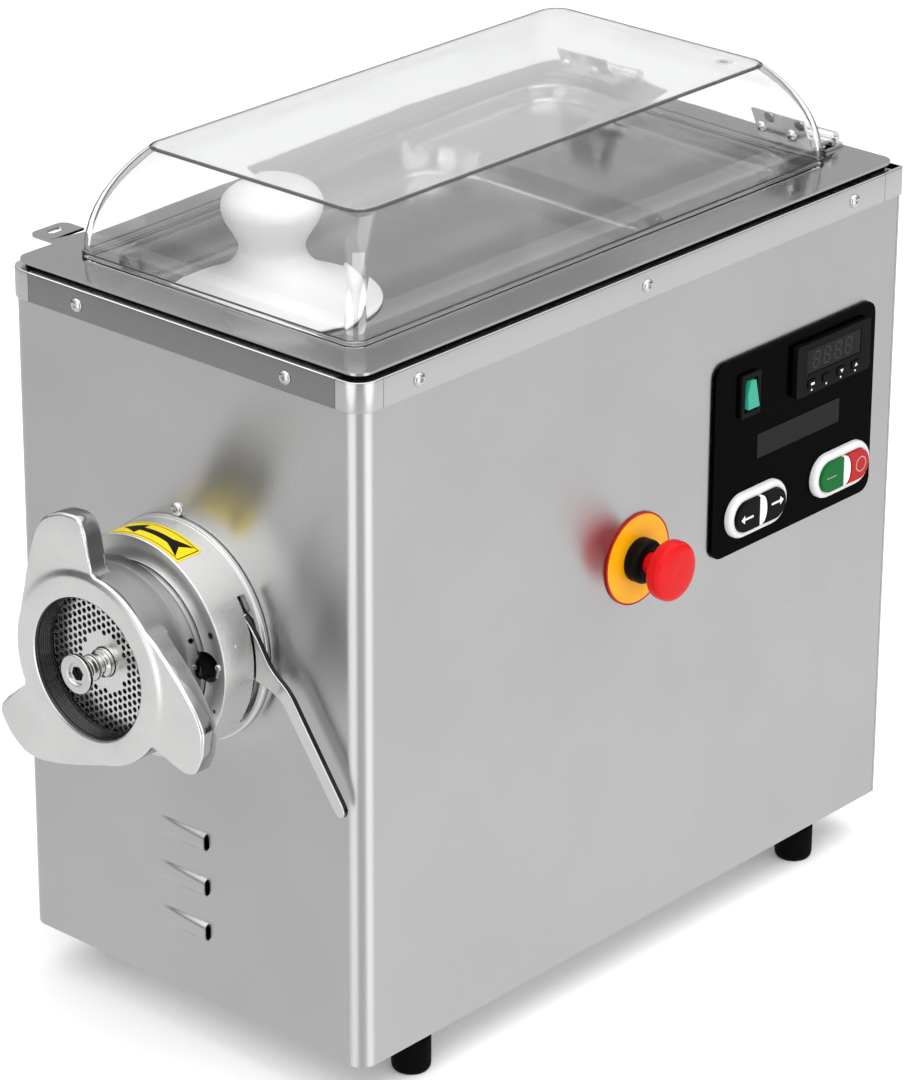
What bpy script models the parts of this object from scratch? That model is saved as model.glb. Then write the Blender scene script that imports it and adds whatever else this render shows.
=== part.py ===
"""Refrigerated counter-top meat mincer, as an assembly of separate pieces.

The cabinet stands on four rubber feet. The mincing head comes out of its front (-Y), the
controls are on its right side (+X), and a clear hinged lid covers the meat tray on top (+Z).
All sizes below are millimetres in the cabinet's own frame: X and Y are measured from the middle
of its footprint and Z from the floor. ROW_OFFSET moves that frame so that the world origin is
under the middle of the whole object's box.
"""

import math

import bmesh
import bpy
from mathutils import Vector

MM = 0.001
GAP = 0.3  # clearance left between pieces that touch

# Cabinet
WIDTH, LENGTH = 288.0, 506.0
HALF_X, HALF_Y = WIDTH / 2, LENGTH / 2
FOOT_HEIGHT, FOOT_RADIUS = 30.0, 12.5
FOOT_X, FOOT_Y = 126.0, 190.0
SHEET = 1.5
CORNER_RADIUS = 12.0
SHELL_TOP = 474.0

# Trim band, seal and tray round the top
BAND_BOTTOM, BAND_TOP = 456.0, 475.0
BAND_OUT = 1.5
BAND_SHEET = 1.2
BAND_CORNER_LEG = 18.0
SEAL_TOP = 477.2
TRAY_BOTTOM, TRAY_TOP = 477.5, 479.5
TRAY_HALF_X, TRAY_HALF_Y = 142.0, 251.0
BASIN = (-107.0, 105.0, -222.0, 207.0)  # x and y limits of the pressed basin
BASIN_STEP_Y = 97.0
BASIN_FLOOR, SHELF_FLOOR = 457.0, 470.5
BASIN_DRAFT = 5.0

# Lid
LID = (-118.0, 113.0, -223.0, 220.0)
LID_BOTTOM, LID_TOP = TRAY_TOP + GAP, 547.5
LID_WALL, LID_FLANGE = 3.0, 5.0
LID_INSET_X, LID_INSET_Y = 28.0, 32.0
HINGE_X, HINGE_Y, HINGE_Z = 80.0, 240.0, 486.5
HINGE_HALF_WIDTH, HINGE_KNUCKLE = 21.0, 4.5

# Mincing head, on the axis along Y through (0, AXIS_Z)
AXIS_Z = 280.5
FEED_X, FEED_Y = -20.0, -152.0
FEED_BORE = 28.0
COLLAR_RADIUS, COLLAR_FRONT, COLLAR_BACK = 70.0, -290.5, -253.4
BARREL_RADIUS, BARREL_FRONT, BARREL_BACK = 53.0, -316.0, -100.0
AUGER_BORE = 36.5
PLATE_RADIUS, PLATE_FRONT, PLATE_BACK = 49.0, -320.0, -308.0
PIN_RADIUS = 9.0
NUT_FRONT, NUT_BACK = -334.5, -300.0
NUT_OPENING = 43.5
STUD_FRONT = -344.0
LEVER_FRONT, LEVER_BACK = -265.0, -261.0

# Drive
GEAR_MODULE, GEAR_TEETH, PINION_TEETH = 2.5, 36, 9
GEAR_SPACING = GEAR_MODULE * (GEAR_TEETH + PINION_TEETH) / 2 + 0.6
MOTOR_Z = AXIS_Z - GEAR_SPACING
GEARBOX_FRONT, GEARBOX_BACK = -86.0, -24.0
MOTOR_BACK = 150.0

# Controls on the right side
PANEL = (67.5, 229.5, 260.0, 392.0)  # y and z limits
PANEL_FRONT = HALF_X + 2.3
CONTROL_Z = 285.0
ESTOP_Y, ESTOP_Z = -4.0, 286.5
DIRECTION_Y, START_Y = 108.5, 195.0
ROCKER_Y, ROCKER_Z = 100.0, 365.0
THERMOSTAT_Y, THERMOSTAT_Z = 182.0, 366.0
BEZEL_HALF_WIDTH, BEZEL_HALF_HEIGHT = 29.5, 15.0

# The object's box runs from the tray's ear to the stop button and from the stud to the gland.
EAR_X = -166.0
ESTOP_X = HALF_X + 34.0
GLAND_Y = HALF_Y + 16.0
ROW_OFFSET = Vector((-(EAR_X + ESTOP_X) / 2, -(STUD_FRONT + GLAND_Y) / 2, 0.0))

FINISHES = {
    "stainless": ((0.62, 0.62, 0.62), 0.35, 1.0),
    "cast_steel": ((0.72, 0.72, 0.71), 0.30, 1.0),
    "polished_steel": ((0.80, 0.80, 0.80), 0.10, 1.0),
    "clear_plastic": ((0.92, 0.94, 0.94), 0.05, 0.0),
    "white_plastic": ((0.90, 0.90, 0.89), 0.35, 0.0),
    "black_rubber": ((0.02, 0.02, 0.02), 0.70, 0.0),
    "black_plastic": ((0.015, 0.015, 0.015), 0.30, 0.0),
    "green_plastic": ((0.02, 0.35, 0.12), 0.30, 0.0),
    "red_plastic": ((0.75, 0.03, 0.03), 0.30, 0.0),
    "yellow_plastic": ((0.90, 0.62, 0.02), 0.45, 0.0),
    "dark_paint": ((0.05, 0.05, 0.055), 0.45, 0.3),
    "aluminium": ((0.60, 0.61, 0.62), 0.40, 1.0),
    "copper": ((0.72, 0.36, 0.20), 0.30, 1.0),
}


def material(finish):
    """The material of that finish, made on first use."""
    found = bpy.data.materials.get(finish)
    if found:
        return found
    color, roughness, metallic = FINISHES[finish]
    made = bpy.data.materials.new(finish)
    made.use_nodes = True
    shader = made.node_tree.nodes["Principled BSDF"]
    shader.inputs["Base Color"].default_value = (*color, 1.0)
    shader.inputs["Roughness"].default_value = roughness
    shader.inputs["Metallic"].default_value = metallic
    if finish == "clear_plastic":
        shader.inputs["Transmission Weight"].default_value = 1.0
    return made


# ---------------------------------------------------------------- shapes


def arc(cx, cy, radius, start, end, steps):
    """steps + 1 points on an arc, with its angles in degrees."""
    angles = [math.radians(start + (end - start) * i / steps) for i in range(steps + 1)]
    return [(cx + radius * math.cos(a), cy + radius * math.sin(a)) for a in angles]


def circle(radius, sides, cx=0.0, cy=0.0, turn=0.0):
    return arc(cx, cy, radius, turn, turn + 360, sides)[:-1]


def rounded(x0, x1, y0, y1, radius, steps=4, far_radius=None):
    """A rectangle with round corners, anticlockwise from its lower right corner."""
    r = radius
    f = r if far_radius is None else far_radius
    corners = (
        (x1 - r, y0 + r, r, -90), (x1 - f, y1 - f, f, 0), (x0 + f, y1 - f, f, 90), (x0 + r, y0 + r, r, 180)
    )
    return [p for cx, cy, size, a in corners for p in arc(cx, cy, size, a, a + 90, steps)]


def inset(box, dx, dy=None):
    """A rectangle's limits with every side moved inwards."""
    dy = dx if dy is None else dy
    x0, x1, y0, y1 = box
    return x0 + dx, x1 - dx, y0 + dy, y1 - dy


def along(axis, outline, height):
    """An outline's points as a loop in space, at that height along the axis."""
    if axis == "x":
        return [(height, u, v) for u, v in outline]
    if axis == "y":
        return [(u, height, v) for u, v in outline]
    return [(u, v, height) for u, v in outline]


def solid(name, loops, finish, origin=(0, 0, 0), ring=False, helper=False):
    """A closed solid through loops of equally many points, in cabinet millimetres.

    With ring the last loop joins the first one, otherwise both ends get a cap. The object's
    origin goes to the given point, which is on the joint's axis of a piece that moves.
    """
    mesh = bmesh.new()
    base = Vector(origin)
    rows = [[mesh.verts.new((Vector(p) - base) * MM) for p in loop] for loop in loops]
    pairs = list(zip(rows, rows[1:] + rows[:1])) if ring else list(zip(rows, rows[1:]))
    for low, high in pairs:
        for i in range(len(low)):
            j = (i + 1) % len(low)
            mesh.faces.new((low[i], low[j], high[j], high[i]))
    if not ring:
        mesh.faces.new(rows[0])
        mesh.faces.new(rows[-1])
    bmesh.ops.recalc_face_normals(mesh, faces=mesh.faces)
    data = bpy.data.meshes.new(name)
    mesh.to_mesh(data)
    mesh.free()
    data.materials.append(material(finish))
    data.shade_smooth()
    data.set_sharp_from_angle(angle=math.radians(32))
    obj = bpy.data.objects.new(name, data)
    bpy.context.scene.collection.objects.link(obj)
    obj.parent = bpy.data.objects["machine_frame"]
    obj.location = base * MM
    if helper:
        obj.hide_render = True
        obj.display_type = "WIRE"
    return obj


def prism(name, outline, low, high, finish, axis="z", **more):
    return solid(name, [along(axis, outline, h) for h in (low, high)], finish, **more)


def turned(name, profile, finish, axis="z", centre=(0.0, 0.0), sides=32, ring=False, **more):
    """A solid of revolution. profile lists (radius, height along the axis) pairs."""
    loops = [along(axis, circle(r, sides, *centre), h) for r, h in profile]
    return solid(name, loops, finish, ring=ring, **more)


def block(name, low, high, finish, **more):
    x0, y0, z0 = low
    x1, y1, z1 = high
    return prism(name, [(x0, y0), (x1, y0), (x1, y1), (x0, y1)], z0, z1, finish, **more)


def boolean(obj, operation, helpers):
    for helper in helpers:
        step = obj.modifiers.new(operation.lower(), "BOOLEAN")
        step.operation = operation
        step.solver = "EXACT"
        step.object = helper


def cut(obj, *helpers):
    boolean(obj, "DIFFERENCE", helpers)


def unite(obj, *helpers):
    boolean(obj, "UNION", helpers)


def cutter(kind, name, *args, **more):
    return kind(f"cut_{name}", *args, "dark_paint", helper=True, **more)


# ---------------------------------------------------------------- cabinet


def make_cabinet():
    shell_back = HALF_Y - SHEET - GAP
    lip = 14.0

    def wrap(offset):
        """The sheet's outline seen from above, from the right rear lip round the front."""
        x, y, back = HALF_X - offset, HALF_Y - offset, shell_back - offset
        r = CORNER_RADIUS - offset
        right = arc(x - r, -y + r, r, 0, -90, 5)
        left = arc(-x + r, -y + r, r, -90, -180, 5)
        return [(HALF_X - lip, back), (x, back), *right, *left, (-x, back), (-HALF_X + lip, back)]

    outline = wrap(0.0) + wrap(SHEET)[::-1]
    shell = prism("cabinet_shell", outline, FOOT_HEIGHT, SHELL_TOP, "stainless")
    louvre_z = (140.0, 109.0, 78.0)
    for i, z in enumerate(louvre_z):
        unite(shell, louvre(f"hood_{i}", z, 0.0))
    for i, z in enumerate(louvre_z):
        cut(shell, louvre(f"slot_{i}", z, 1.2))
    y0, y1, z0, z1 = inset(PANEL, 7.0)
    head_hole = circle(56.0, 32, 0.0, AXIS_Z)
    cut(
        shell,
        cutter(prism, "head_hole", head_hole, -HALF_Y - 5, -HALF_Y + 5, axis="y"),
        cutter(block, "panel_window", (HALF_X - 5, y0, z0), (HALF_X + 5, y1, z1)),
        cutter(
            prism, "estop_hole", circle(8.6, 20, ESTOP_Y, ESTOP_Z), HALF_X - 5, HALF_X + 5, axis="x"
        ),
    )
    make_rear_panel()
    base = rounded(*inset((-HALF_X, HALF_X, -HALF_Y, HALF_Y - SHEET - 2 * GAP), SHEET + GAP), 10.0, 3)
    base_plate = prism("base_plate", base, FOOT_HEIGHT + GAP, FOOT_HEIGHT + 3, "stainless")
    for side, x in (("left", -FOOT_X), ("right", FOOT_X)):
        for end, y in (("front", -FOOT_Y), ("rear", FOOT_Y)):
            make_foot(f"foot_{end}_{side}", x, y)
            stud_hole = circle(4.4, 12, x, y)
            cut(base_plate, cutter(prism, f"stud_{end}_{side}", stud_hole, 20.0, 40.0))


def louvre(name, z, inner):
    """A pressed hood that grows to the right and is open at that end, or the hollow inside it."""
    start, end, half_height, rise = -27.0, 15.0, 6.0, 5.0
    loops = []
    for part in (0.0, 0.33, 0.67, 1.0):
        x = start + (end - start) * part + inner * (1.5 if part == 1.0 else 1.0)
        grow = math.sin(part * math.pi / 2) * 0.92 + 0.08
        h = max(half_height * grow - inner, 0.3)
        out = max(rise * grow - inner, 0.2)
        bulge = [(h * math.cos(a), out * math.sin(a)) for a in (math.pi * i / 5 for i in range(6))]
        back = 2.5 if inner else 0.8
        ring = [(v, -HALF_Y - u) for v, u in bulge] + [(-h, -HALF_Y + back), (h, -HALF_Y + back)]
        loops.append([(x, y, z + v) for v, y in ring])
    return solid(f"louvre_{name}", loops, "stainless", helper=True)


def make_rear_panel():
    outline = [(-HALF_X, FOOT_HEIGHT), (HALF_X, FOOT_HEIGHT), (HALF_X, SHELL_TOP), (-HALF_X, SHELL_TOP)]
    panel = prism("rear_panel", outline, HALF_Y - SHEET, HALF_Y, "stainless", axis="y")
    slot_half_width, slot_height, pitch, rows = 42.0, 6.0, 22.0, 9
    for column, x in (("a", -55.0), ("b", 55.0)):
        for row in range(rows):
            z = 220.0 + row * pitch
            low = (x - slot_half_width, HALF_Y - 5, z)
            high = (x + slot_half_width, HALF_Y + 5, z + slot_height)
            cut(panel, cutter(block, f"vent_{column}{row}", low, high))
    gland = (-100.0, 70.0)
    hole = circle(8.4, 16, *gland)
    cut(panel, cutter(prism, "gland_hole", hole, HALF_Y - 5, HALF_Y + 5, axis="y"))
    outside, inside = HALF_Y + GAP, HALF_Y - 14.0
    profile = [
        (5.0, inside), (8.0, inside), (8.0, outside), (12.0, outside), (12.0, outside + 5),
        (10.5, outside + 6), (9.0, GLAND_Y - 1), (7.0, GLAND_Y), (5.0, GLAND_Y),
    ]
    turned("cable_gland", profile, "black_plastic", axis="y", centre=gland, sides=12, ring=True)


def make_foot(name, x, y):
    """A rubber cylinder with its steel stud moulded in."""
    r, h = FOOT_RADIUS, FOOT_HEIGHT - GAP
    profile = [(r - 1.5, 0.0), (r, 1.5), (r, h), (4.0, h), (4.0, h + 10)]
    turned(name, profile, "black_rubber", centre=(x, y), sides=14)


def make_band():
    """The edge trim: straight strips and separate pieces round the two front corners."""

    def section(offset, low, high):
        box = inset((-HALF_X, HALF_X, -HALF_Y, HALF_Y), offset)
        outline = rounded(*box, max(CORNER_RADIUS - offset, 2.0), 4, max(0.4 - offset, 0.1))
        return [along("z", outline, h) for h in (low, high)]

    out, back = -BAND_OUT, -BAND_OUT + BAND_SHEET
    top_leg, flange = 9.0, BAND_TOP - 0.7
    outer = section(out, BAND_BOTTOM, BAND_TOP)
    inner = section(top_leg, BAND_TOP, flange) + section(back, flange, BAND_BOTTOM)
    far, leg = 400.0, BAND_CORNER_LEG
    x_seam, y_seam, y_rear = HALF_X - leg, -HALF_Y + leg, HALF_Y - leg
    half = GAP / 2
    regions = {
        "band_front": ((-x_seam + half, -far), (x_seam - half, y_seam)),
        "band_right": ((x_seam, y_seam + half), (far, y_rear - half)),
        "band_left": ((-far, y_seam + half), (-x_seam, y_rear - half)),
        "band_rear": ((-far, y_rear + half), (far, far)),
        "band_corner_right": ((x_seam + half, -far), (far, y_seam - half)),
        "band_corner_left": ((-far, -far), (-x_seam - half, y_seam - half)),
    }
    for name, (low, high) in regions.items():
        piece = solid(name, outer + inner, "stainless", ring=True)
        region = cutter(block, f"{name}_region", (*low, 400.0), (*high, 500.0))
        boolean(piece, "INTERSECT", [region])


def make_tray():
    """The pressed top sheet: a deep basin with a shelf behind it, a feed hole and a side ear."""
    sheet = rounded(-TRAY_HALF_X, TRAY_HALF_X, -TRAY_HALF_Y, TRAY_HALF_Y, 10.0, 4)
    tray = prism("tray_top", sheet, TRAY_BOTTOM, TRAY_TOP, "stainless")
    ear = rounded(EAR_X, -TRAY_HALF_X + 4, -216.0, -186.0, 5.0, 3)
    unite(tray, prism("ear", ear, TRAY_BOTTOM, TRAY_TOP, "stainless", helper=True))
    x0, x1, y0, y1 = BASIN
    deep, shelf = (x0, x1, y0, BASIN_STEP_Y), (x0 + 2, x1 - 2, BASIN_STEP_Y - 20, y1)
    floors = (("deep", deep, BASIN_FLOOR, 24.0), ("shelf", shelf, SHELF_FLOOR, 22.0))

    def press(name, box, floor, radius, skin):
        top, draft = (TRAY_TOP + 2 if not skin else TRAY_TOP - 0.5), BASIN_DRAFT
        wide, narrow = inset(box, -skin), inset(box, draft - skin)
        wall_top = [(p, h) for p, h in ((wide, top), (wide, TRAY_TOP - 1.5))]
        wall_low = [(narrow, floor - skin)]
        loops = [along("z", rounded(*b, radius, 4), h) for b, h in wall_top + wall_low]
        return solid(name, loops, "stainless", helper=True)

    unite(tray, *[press(f"skin_{n}", b, f, r, SHEET) for n, b, f, r in floors])
    cut(tray, *[press(f"hollow_{n}", b, f, r, 0.0) for n, b, f, r in floors])
    hole = circle(FEED_BORE, 20, FEED_X, FEED_Y)
    cut(tray, cutter(prism, "feed_hole", hole, BASIN_FLOOR - 10, BASIN_FLOOR + 5))
    seal = inset((-HALF_X, HALF_X, -HALF_Y, HALF_Y), 4.5)
    outer, inner = rounded(*seal, 9.0, 4), rounded(*inset(seal, 6.0), 5.0, 4)
    low, high = BAND_TOP + GAP, SEAL_TOP
    loops = [along("z", o, h) for o, h in ((outer, low), (outer, high), (inner, high), (inner, low))]
    solid("top_gasket", loops, "black_rubber", ring=True)


def make_lid():
    """A thin clear cover: a flat flange, sloping walls with round corners and a flat top."""

    def level(part, extra, z, radius):
        """The wall's outline at a part of its height, moved in by extra."""
        dx = LID_FLANGE + LID_INSET_X * part + extra
        dy = LID_FLANGE + LID_INSET_Y * part + extra
        return along("z", rounded(*inset(LID, dx, dy), radius, 5), z)

    flange_top = LID_BOTTOM + LID_WALL
    rise = LID_TOP - LID_BOTTOM
    heights = (0.0, 0.80, 0.90, 0.97, 1.0)
    shoulders = (0.0, 0.0, 1.5, 5.0, 11.0)
    outer = [level(t, s, LID_BOTTOM + rise * t, 20.0) for t, s in zip(heights, shoulders)]
    outer[0] = level(LID_WALL / rise, 0.0, flange_top, 20.0)
    inner = [
        level(t, s + LID_WALL, LID_BOTTOM + (rise - LID_WALL) * t, 17.0)
        for t, s in zip(heights, shoulders)
    ]
    rim = [along("z", rounded(*LID, 18.0, 5), z) for z in (LID_BOTTOM, flange_top)]
    axis = (0.0, HINGE_Y, HINGE_Z)
    solid("lid", inner[::-1] + rim + outer, "clear_plastic", origin=axis)
    for side, x in (("left", -HINGE_X), ("right", HINGE_X)):
        make_hinge(side, x)


def make_hinge(side, x):
    """One lid hinge: a base with the middle knuckle and the pin, and a leaf with two knuckles."""
    middle = 8.0
    centre = (HINGE_Y, HINGE_Z)
    span = (x - HINGE_HALF_WIDTH, x + HINGE_HALF_WIDTH)
    foot_top = TRAY_TOP + GAP + 2.0
    foot = block(
        f"hinge_base_{side}",
        (span[0], HINGE_Y - 9, TRAY_TOP + GAP),
        (span[1], HINGE_Y + 9, foot_top),
        "polished_steel",
    )
    post = [(HINGE_Y - 4, foot_top - 1), (HINGE_Y + 4, foot_top - 1), (HINGE_Y + 3, HINGE_Z)]
    post.append((HINGE_Y - 3, HINGE_Z))
    unite(
        foot,
        prism(f"post_{side}", post, x - middle, x + middle, "polished_steel", axis="x", helper=True),
        prism(
            f"knuckle_{side}", circle(HINGE_KNUCKLE, 16, *centre), x - middle, x + middle,
            "polished_steel", axis="x", helper=True,
        ),
        prism(
            f"pin_{side}", circle(1.8, 12, *centre), span[0] - 2, span[1] + 2,
            "polished_steel", axis="x", helper=True,
        ),
    )
    lean = LID_INSET_Y / (LID_TOP - LID_BOTTOM)
    wall = LID[3] - LID_FLANGE + GAP

    def leaf_at(z, out):
        return wall - lean * (z - LID_BOTTOM) + out, z

    strap_low, strap_high, leaf_top = HINGE_Z - 1.0, HINGE_Z + 1.0, HINGE_Z + 20.0
    section = [
        leaf_at(strap_low, 0.4), (HINGE_Y - 3, strap_low), (HINGE_Y - 3, strap_high),
        leaf_at(strap_high, 2.4), leaf_at(leaf_top, 2.4), leaf_at(leaf_top, 0.4),
    ]
    axis = (x, HINGE_Y, HINGE_Z)
    leaf = prism(f"hinge_leaf_{side}", section, *span, "polished_steel", axis="x", origin=axis)
    for i, (start, end) in enumerate(((span[0], x - middle), (x + middle, span[1]))):
        knuckle = circle(HINGE_KNUCKLE, 16, *centre)
        unite(
            leaf,
            prism(f"sleeve_{side}_{i}", knuckle, start, end, "polished_steel", axis="x", helper=True),
        )
    clear = middle + GAP
    cut(
        leaf,
        cutter(prism, f"bore_{side}", circle(2.2, 12, *centre), span[0] - 5, span[1] + 5, axis="x"),
        cutter(
            prism, f"notch_{side}", circle(HINGE_KNUCKLE + 1.0, 16, *centre), x - clear, x + clear,
            axis="x",
        ),
    )


# ---------------------------------------------------------------- mincing head


def make_pusher():
    """A one-piece plunger: a shaped grip, a wide guard disc and a plug that fits the feed bore."""
    z = BASIN_FLOOR + GAP
    profile = [
        (22.0, z - 110), (26.0, z - 104), (26.0, z), (64.0, z), (64.0, z + 2.5), (48.0, z + 9),
        (33.0, z + 16), (22.5, z + 25), (19.5, z + 32), (22.5, z + 40), (29.5, z + 50), (31.0, z + 57),
        (27.0, z + 66), (16.0, z + 73),
    ]
    origin = (FEED_X, FEED_Y, z)
    turned("pusher", profile, "white_plastic", centre=(FEED_X, FEED_Y), sides=24, origin=origin)


def make_barrel():
    """The cast barrel with its feed neck, and the feed tube and cooling jacket above it."""
    waist = -240.0
    outline = [
        (BARREL_RADIUS - 1.5, BARREL_FRONT), (BARREL_RADIUS, BARREL_FRONT + 1.5),
        (BARREL_RADIUS, waist), (46.0, waist + 6), (46.0, BARREL_BACK),
    ]
    barrel = turned(
        "barrel", outline, "polished_steel", axis="y", centre=(0.0, AXIS_Z), sides=32
    )
    neck_top, jacket_low, jacket_high = 352.0, 362.0, 440.0
    neck = circle(FEED_BORE + 6, 20, FEED_X, FEED_Y)
    unite(barrel, prism("neck", neck, AXIS_Z + 10, neck_top, "polished_steel", helper=True))
    seat, bore_back = PLATE_BACK + 11.5, BARREL_BACK - 12.0
    plate_seat = circle(PLATE_RADIUS + 0.7, 32, 0.0, AXIS_Z)
    cut(
        barrel,
        cutter(prism, "plate_seat", plate_seat, BARREL_FRONT - 2, seat, axis="y"),
        cutter(
            prism, "auger_bore", circle(AUGER_BORE, 24, 0.0, AXIS_Z), seat - 2, bore_back, axis="y"
        ),
        cutter(
            prism, "shaft_bore", circle(16.1, 16, 0.0, AXIS_Z), bore_back - 2, BARREL_BACK + 2, axis="y"
        ),
        cutter(prism, "feed_bore", circle(FEED_BORE, 20, FEED_X, FEED_Y), AXIS_Z + 22, neck_top + 2),
    )
    tube_top = BASIN_FLOOR - SHEET - GAP
    centre = (FEED_X, FEED_Y)
    bore, wall = FEED_BORE, FEED_BORE + 4
    tube = [(bore, neck_top + GAP), (wall, neck_top + GAP), (wall, tube_top), (bore, tube_top)]
    turned("feed_throat", tube, "polished_steel", centre=centre, sides=20, ring=True)
    turns, ribs = [], 4
    pitch = (jacket_high - jacket_low) / ribs
    for i in range(ribs):
        z = jacket_low + pitch * i
        turns += [(wall + 5.5, z), (wall + 8.5, z + pitch * 0.3), (wall + 8.5, z + pitch * 0.7)]
    inner = wall + GAP + 0.2
    jacket = [(inner, jacket_low), *turns, (wall + 5.5, jacket_high), (inner, jacket_high)]
    turned("cooling_coil", jacket, "copper", centre=centre, sides=20, ring=True)


def make_auger():
    """The feed screw: a helical flight on a core, a rear shaft and a front pin."""
    sides, steps = 16, 26
    front, back = PLATE_BACK + 11.8, BARREL_BACK - 12.6
    core, flight, pitch = 14.0, AUGER_BORE - 0.9, 46.0

    def section(y):
        loop = []
        for k in range(sides):
            angle = 2 * math.pi * k / sides
            phase = (angle / (2 * math.pi) - (y - front) / pitch) % 1.0
            crest = max(0.0, 1.0 - abs(phase - 0.5) / 0.16)
            radius = core + (flight - core) * min(1.0, crest * 2.2)
            loop.append((radius * math.cos(angle), y, AXIS_Z + radius * math.sin(angle)))
        return loop

    def plain(radius, y):
        return along("y", circle(radius, sides, 0.0, AXIS_Z), y)

    loops = [plain(PIN_RADIUS, PLATE_FRONT), plain(PIN_RADIUS, front), plain(core, front + 0.5)]
    for i in range(steps + 1):
        loops.append(section(front + 1.0 + (back - front - 2.0) * i / steps))
    loops += [plain(core, back), plain(15.5, back + 0.5), plain(15.5, BARREL_BACK + 8)]
    solid("auger", loops, "cast_steel", origin=(0.0, PLATE_FRONT, AXIS_Z))


def make_knife_and_plate():
    arms, hub, reach = 4, 17.0, 46.0
    outline = []
    for k in range(arms):
        base = 360.0 / arms * k
        outline += arc(0.0, 0.0, reach, base - 9, base + 9, 2)
        outline += arc(0.0, 0.0, hub, base + 30, base + 60, 2)
    outline = [(u, AXIS_Z + v) for u, v in outline]
    back, front = PLATE_BACK + 10.5, PLATE_BACK + GAP
    centre = (0.0, AXIS_Z)
    knife = prism("knife", outline, front, back, "cast_steel", axis="y", origin=(0.0, front, AXIS_Z))
    bore = circle(PIN_RADIUS + GAP, 20, *centre)
    cut(knife, cutter(prism, "knife_bore", bore, front - 5, back + 5, axis="y"))
    ring = [
        (PIN_RADIUS + 0.6, PLATE_FRONT), (PLATE_RADIUS, PLATE_FRONT),
        (PLATE_RADIUS, PLATE_BACK), (PIN_RADIUS + 0.6, PLATE_BACK),
    ]
    turned("hole_plate", ring, "polished_steel", axis="y", centre=centre, sides=36, ring=True)
    y = PLATE_FRONT - GAP
    stud = [
        (9.0, y), (9.0, y - 3), (6.0, y - 4.5), (6.0, y - 8), (8.0, y - 9), (8.0, y - 12),
        (5.5, y - 13.5), (5.5, y - 18), (12.3, STUD_FRONT + 3), (12.3, STUD_FRONT), (7.0, STUD_FRONT),
        (6.5, STUD_FRONT + 6),
    ]
    turned("centre_stud", stud, "polished_steel", axis="y", centre=centre, sides=16, origin=(0, y, AXIS_Z))


def nut_outline(centre_angle=103.0):
    """(angle, wing share) pairs round the nut: each wing has one steep side and one long slope."""
    wing = [
        (-17.0, 0.0), (-13.5, 0.25), (-12.0, 0.88), (-8.5, 1.0), (0.0, 1.03), (9.0, 0.97),
        (14.0, 0.84), (22.0, 0.58), (31.0, 0.34), (42.0, 0.14), (55.0, 0.0), (68.0, 0.0),
        (80.0, 0.0), (92.0, 0.0),
    ]
    return [(centre_angle + 120.0 * k + a, share) for k in range(3) for a, share in wing]


def make_ring_nut():
    """The locking nut that holds the plate: a round lip and three wings to turn it by."""
    body, tip = 61.0, 95.0
    seat, thread = PLATE_RADIUS + 0.8, BARREL_RADIUS + 1.2
    outline = nut_outline()

    def level(y, radius, wing=0.0):
        loop = []
        for angle, share in outline:
            r = radius + (tip - body) * share * wing
            a = math.radians(angle)
            loop.append((r * math.cos(a), y, AXIS_Z + r * math.sin(a)))
        return loop

    loops = [
        level(NUT_BACK, body), level(NUT_BACK - 13, body), level(NUT_BACK - 15, body, 1.0),
        level(NUT_BACK - 24, body, 1.0), level(NUT_BACK - 27, body - 1.5, 0.92),
        level(NUT_BACK - 29, body - 2.5), level(NUT_FRONT + 1.5, body - 4), level(NUT_FRONT, body - 6.5),
        level(NUT_FRONT, NUT_OPENING + 1), level(PLATE_FRONT - GAP, NUT_OPENING),
        level(PLATE_FRONT - GAP, seat), level(BARREL_FRONT - 0.6, seat),
        level(BARREL_FRONT - 0.6, thread), level(NUT_BACK, thread),
    ]
    solid("ring_nut", loops, "cast_steel", ring=True, origin=(0.0, NUT_BACK, AXIS_Z))


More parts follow.
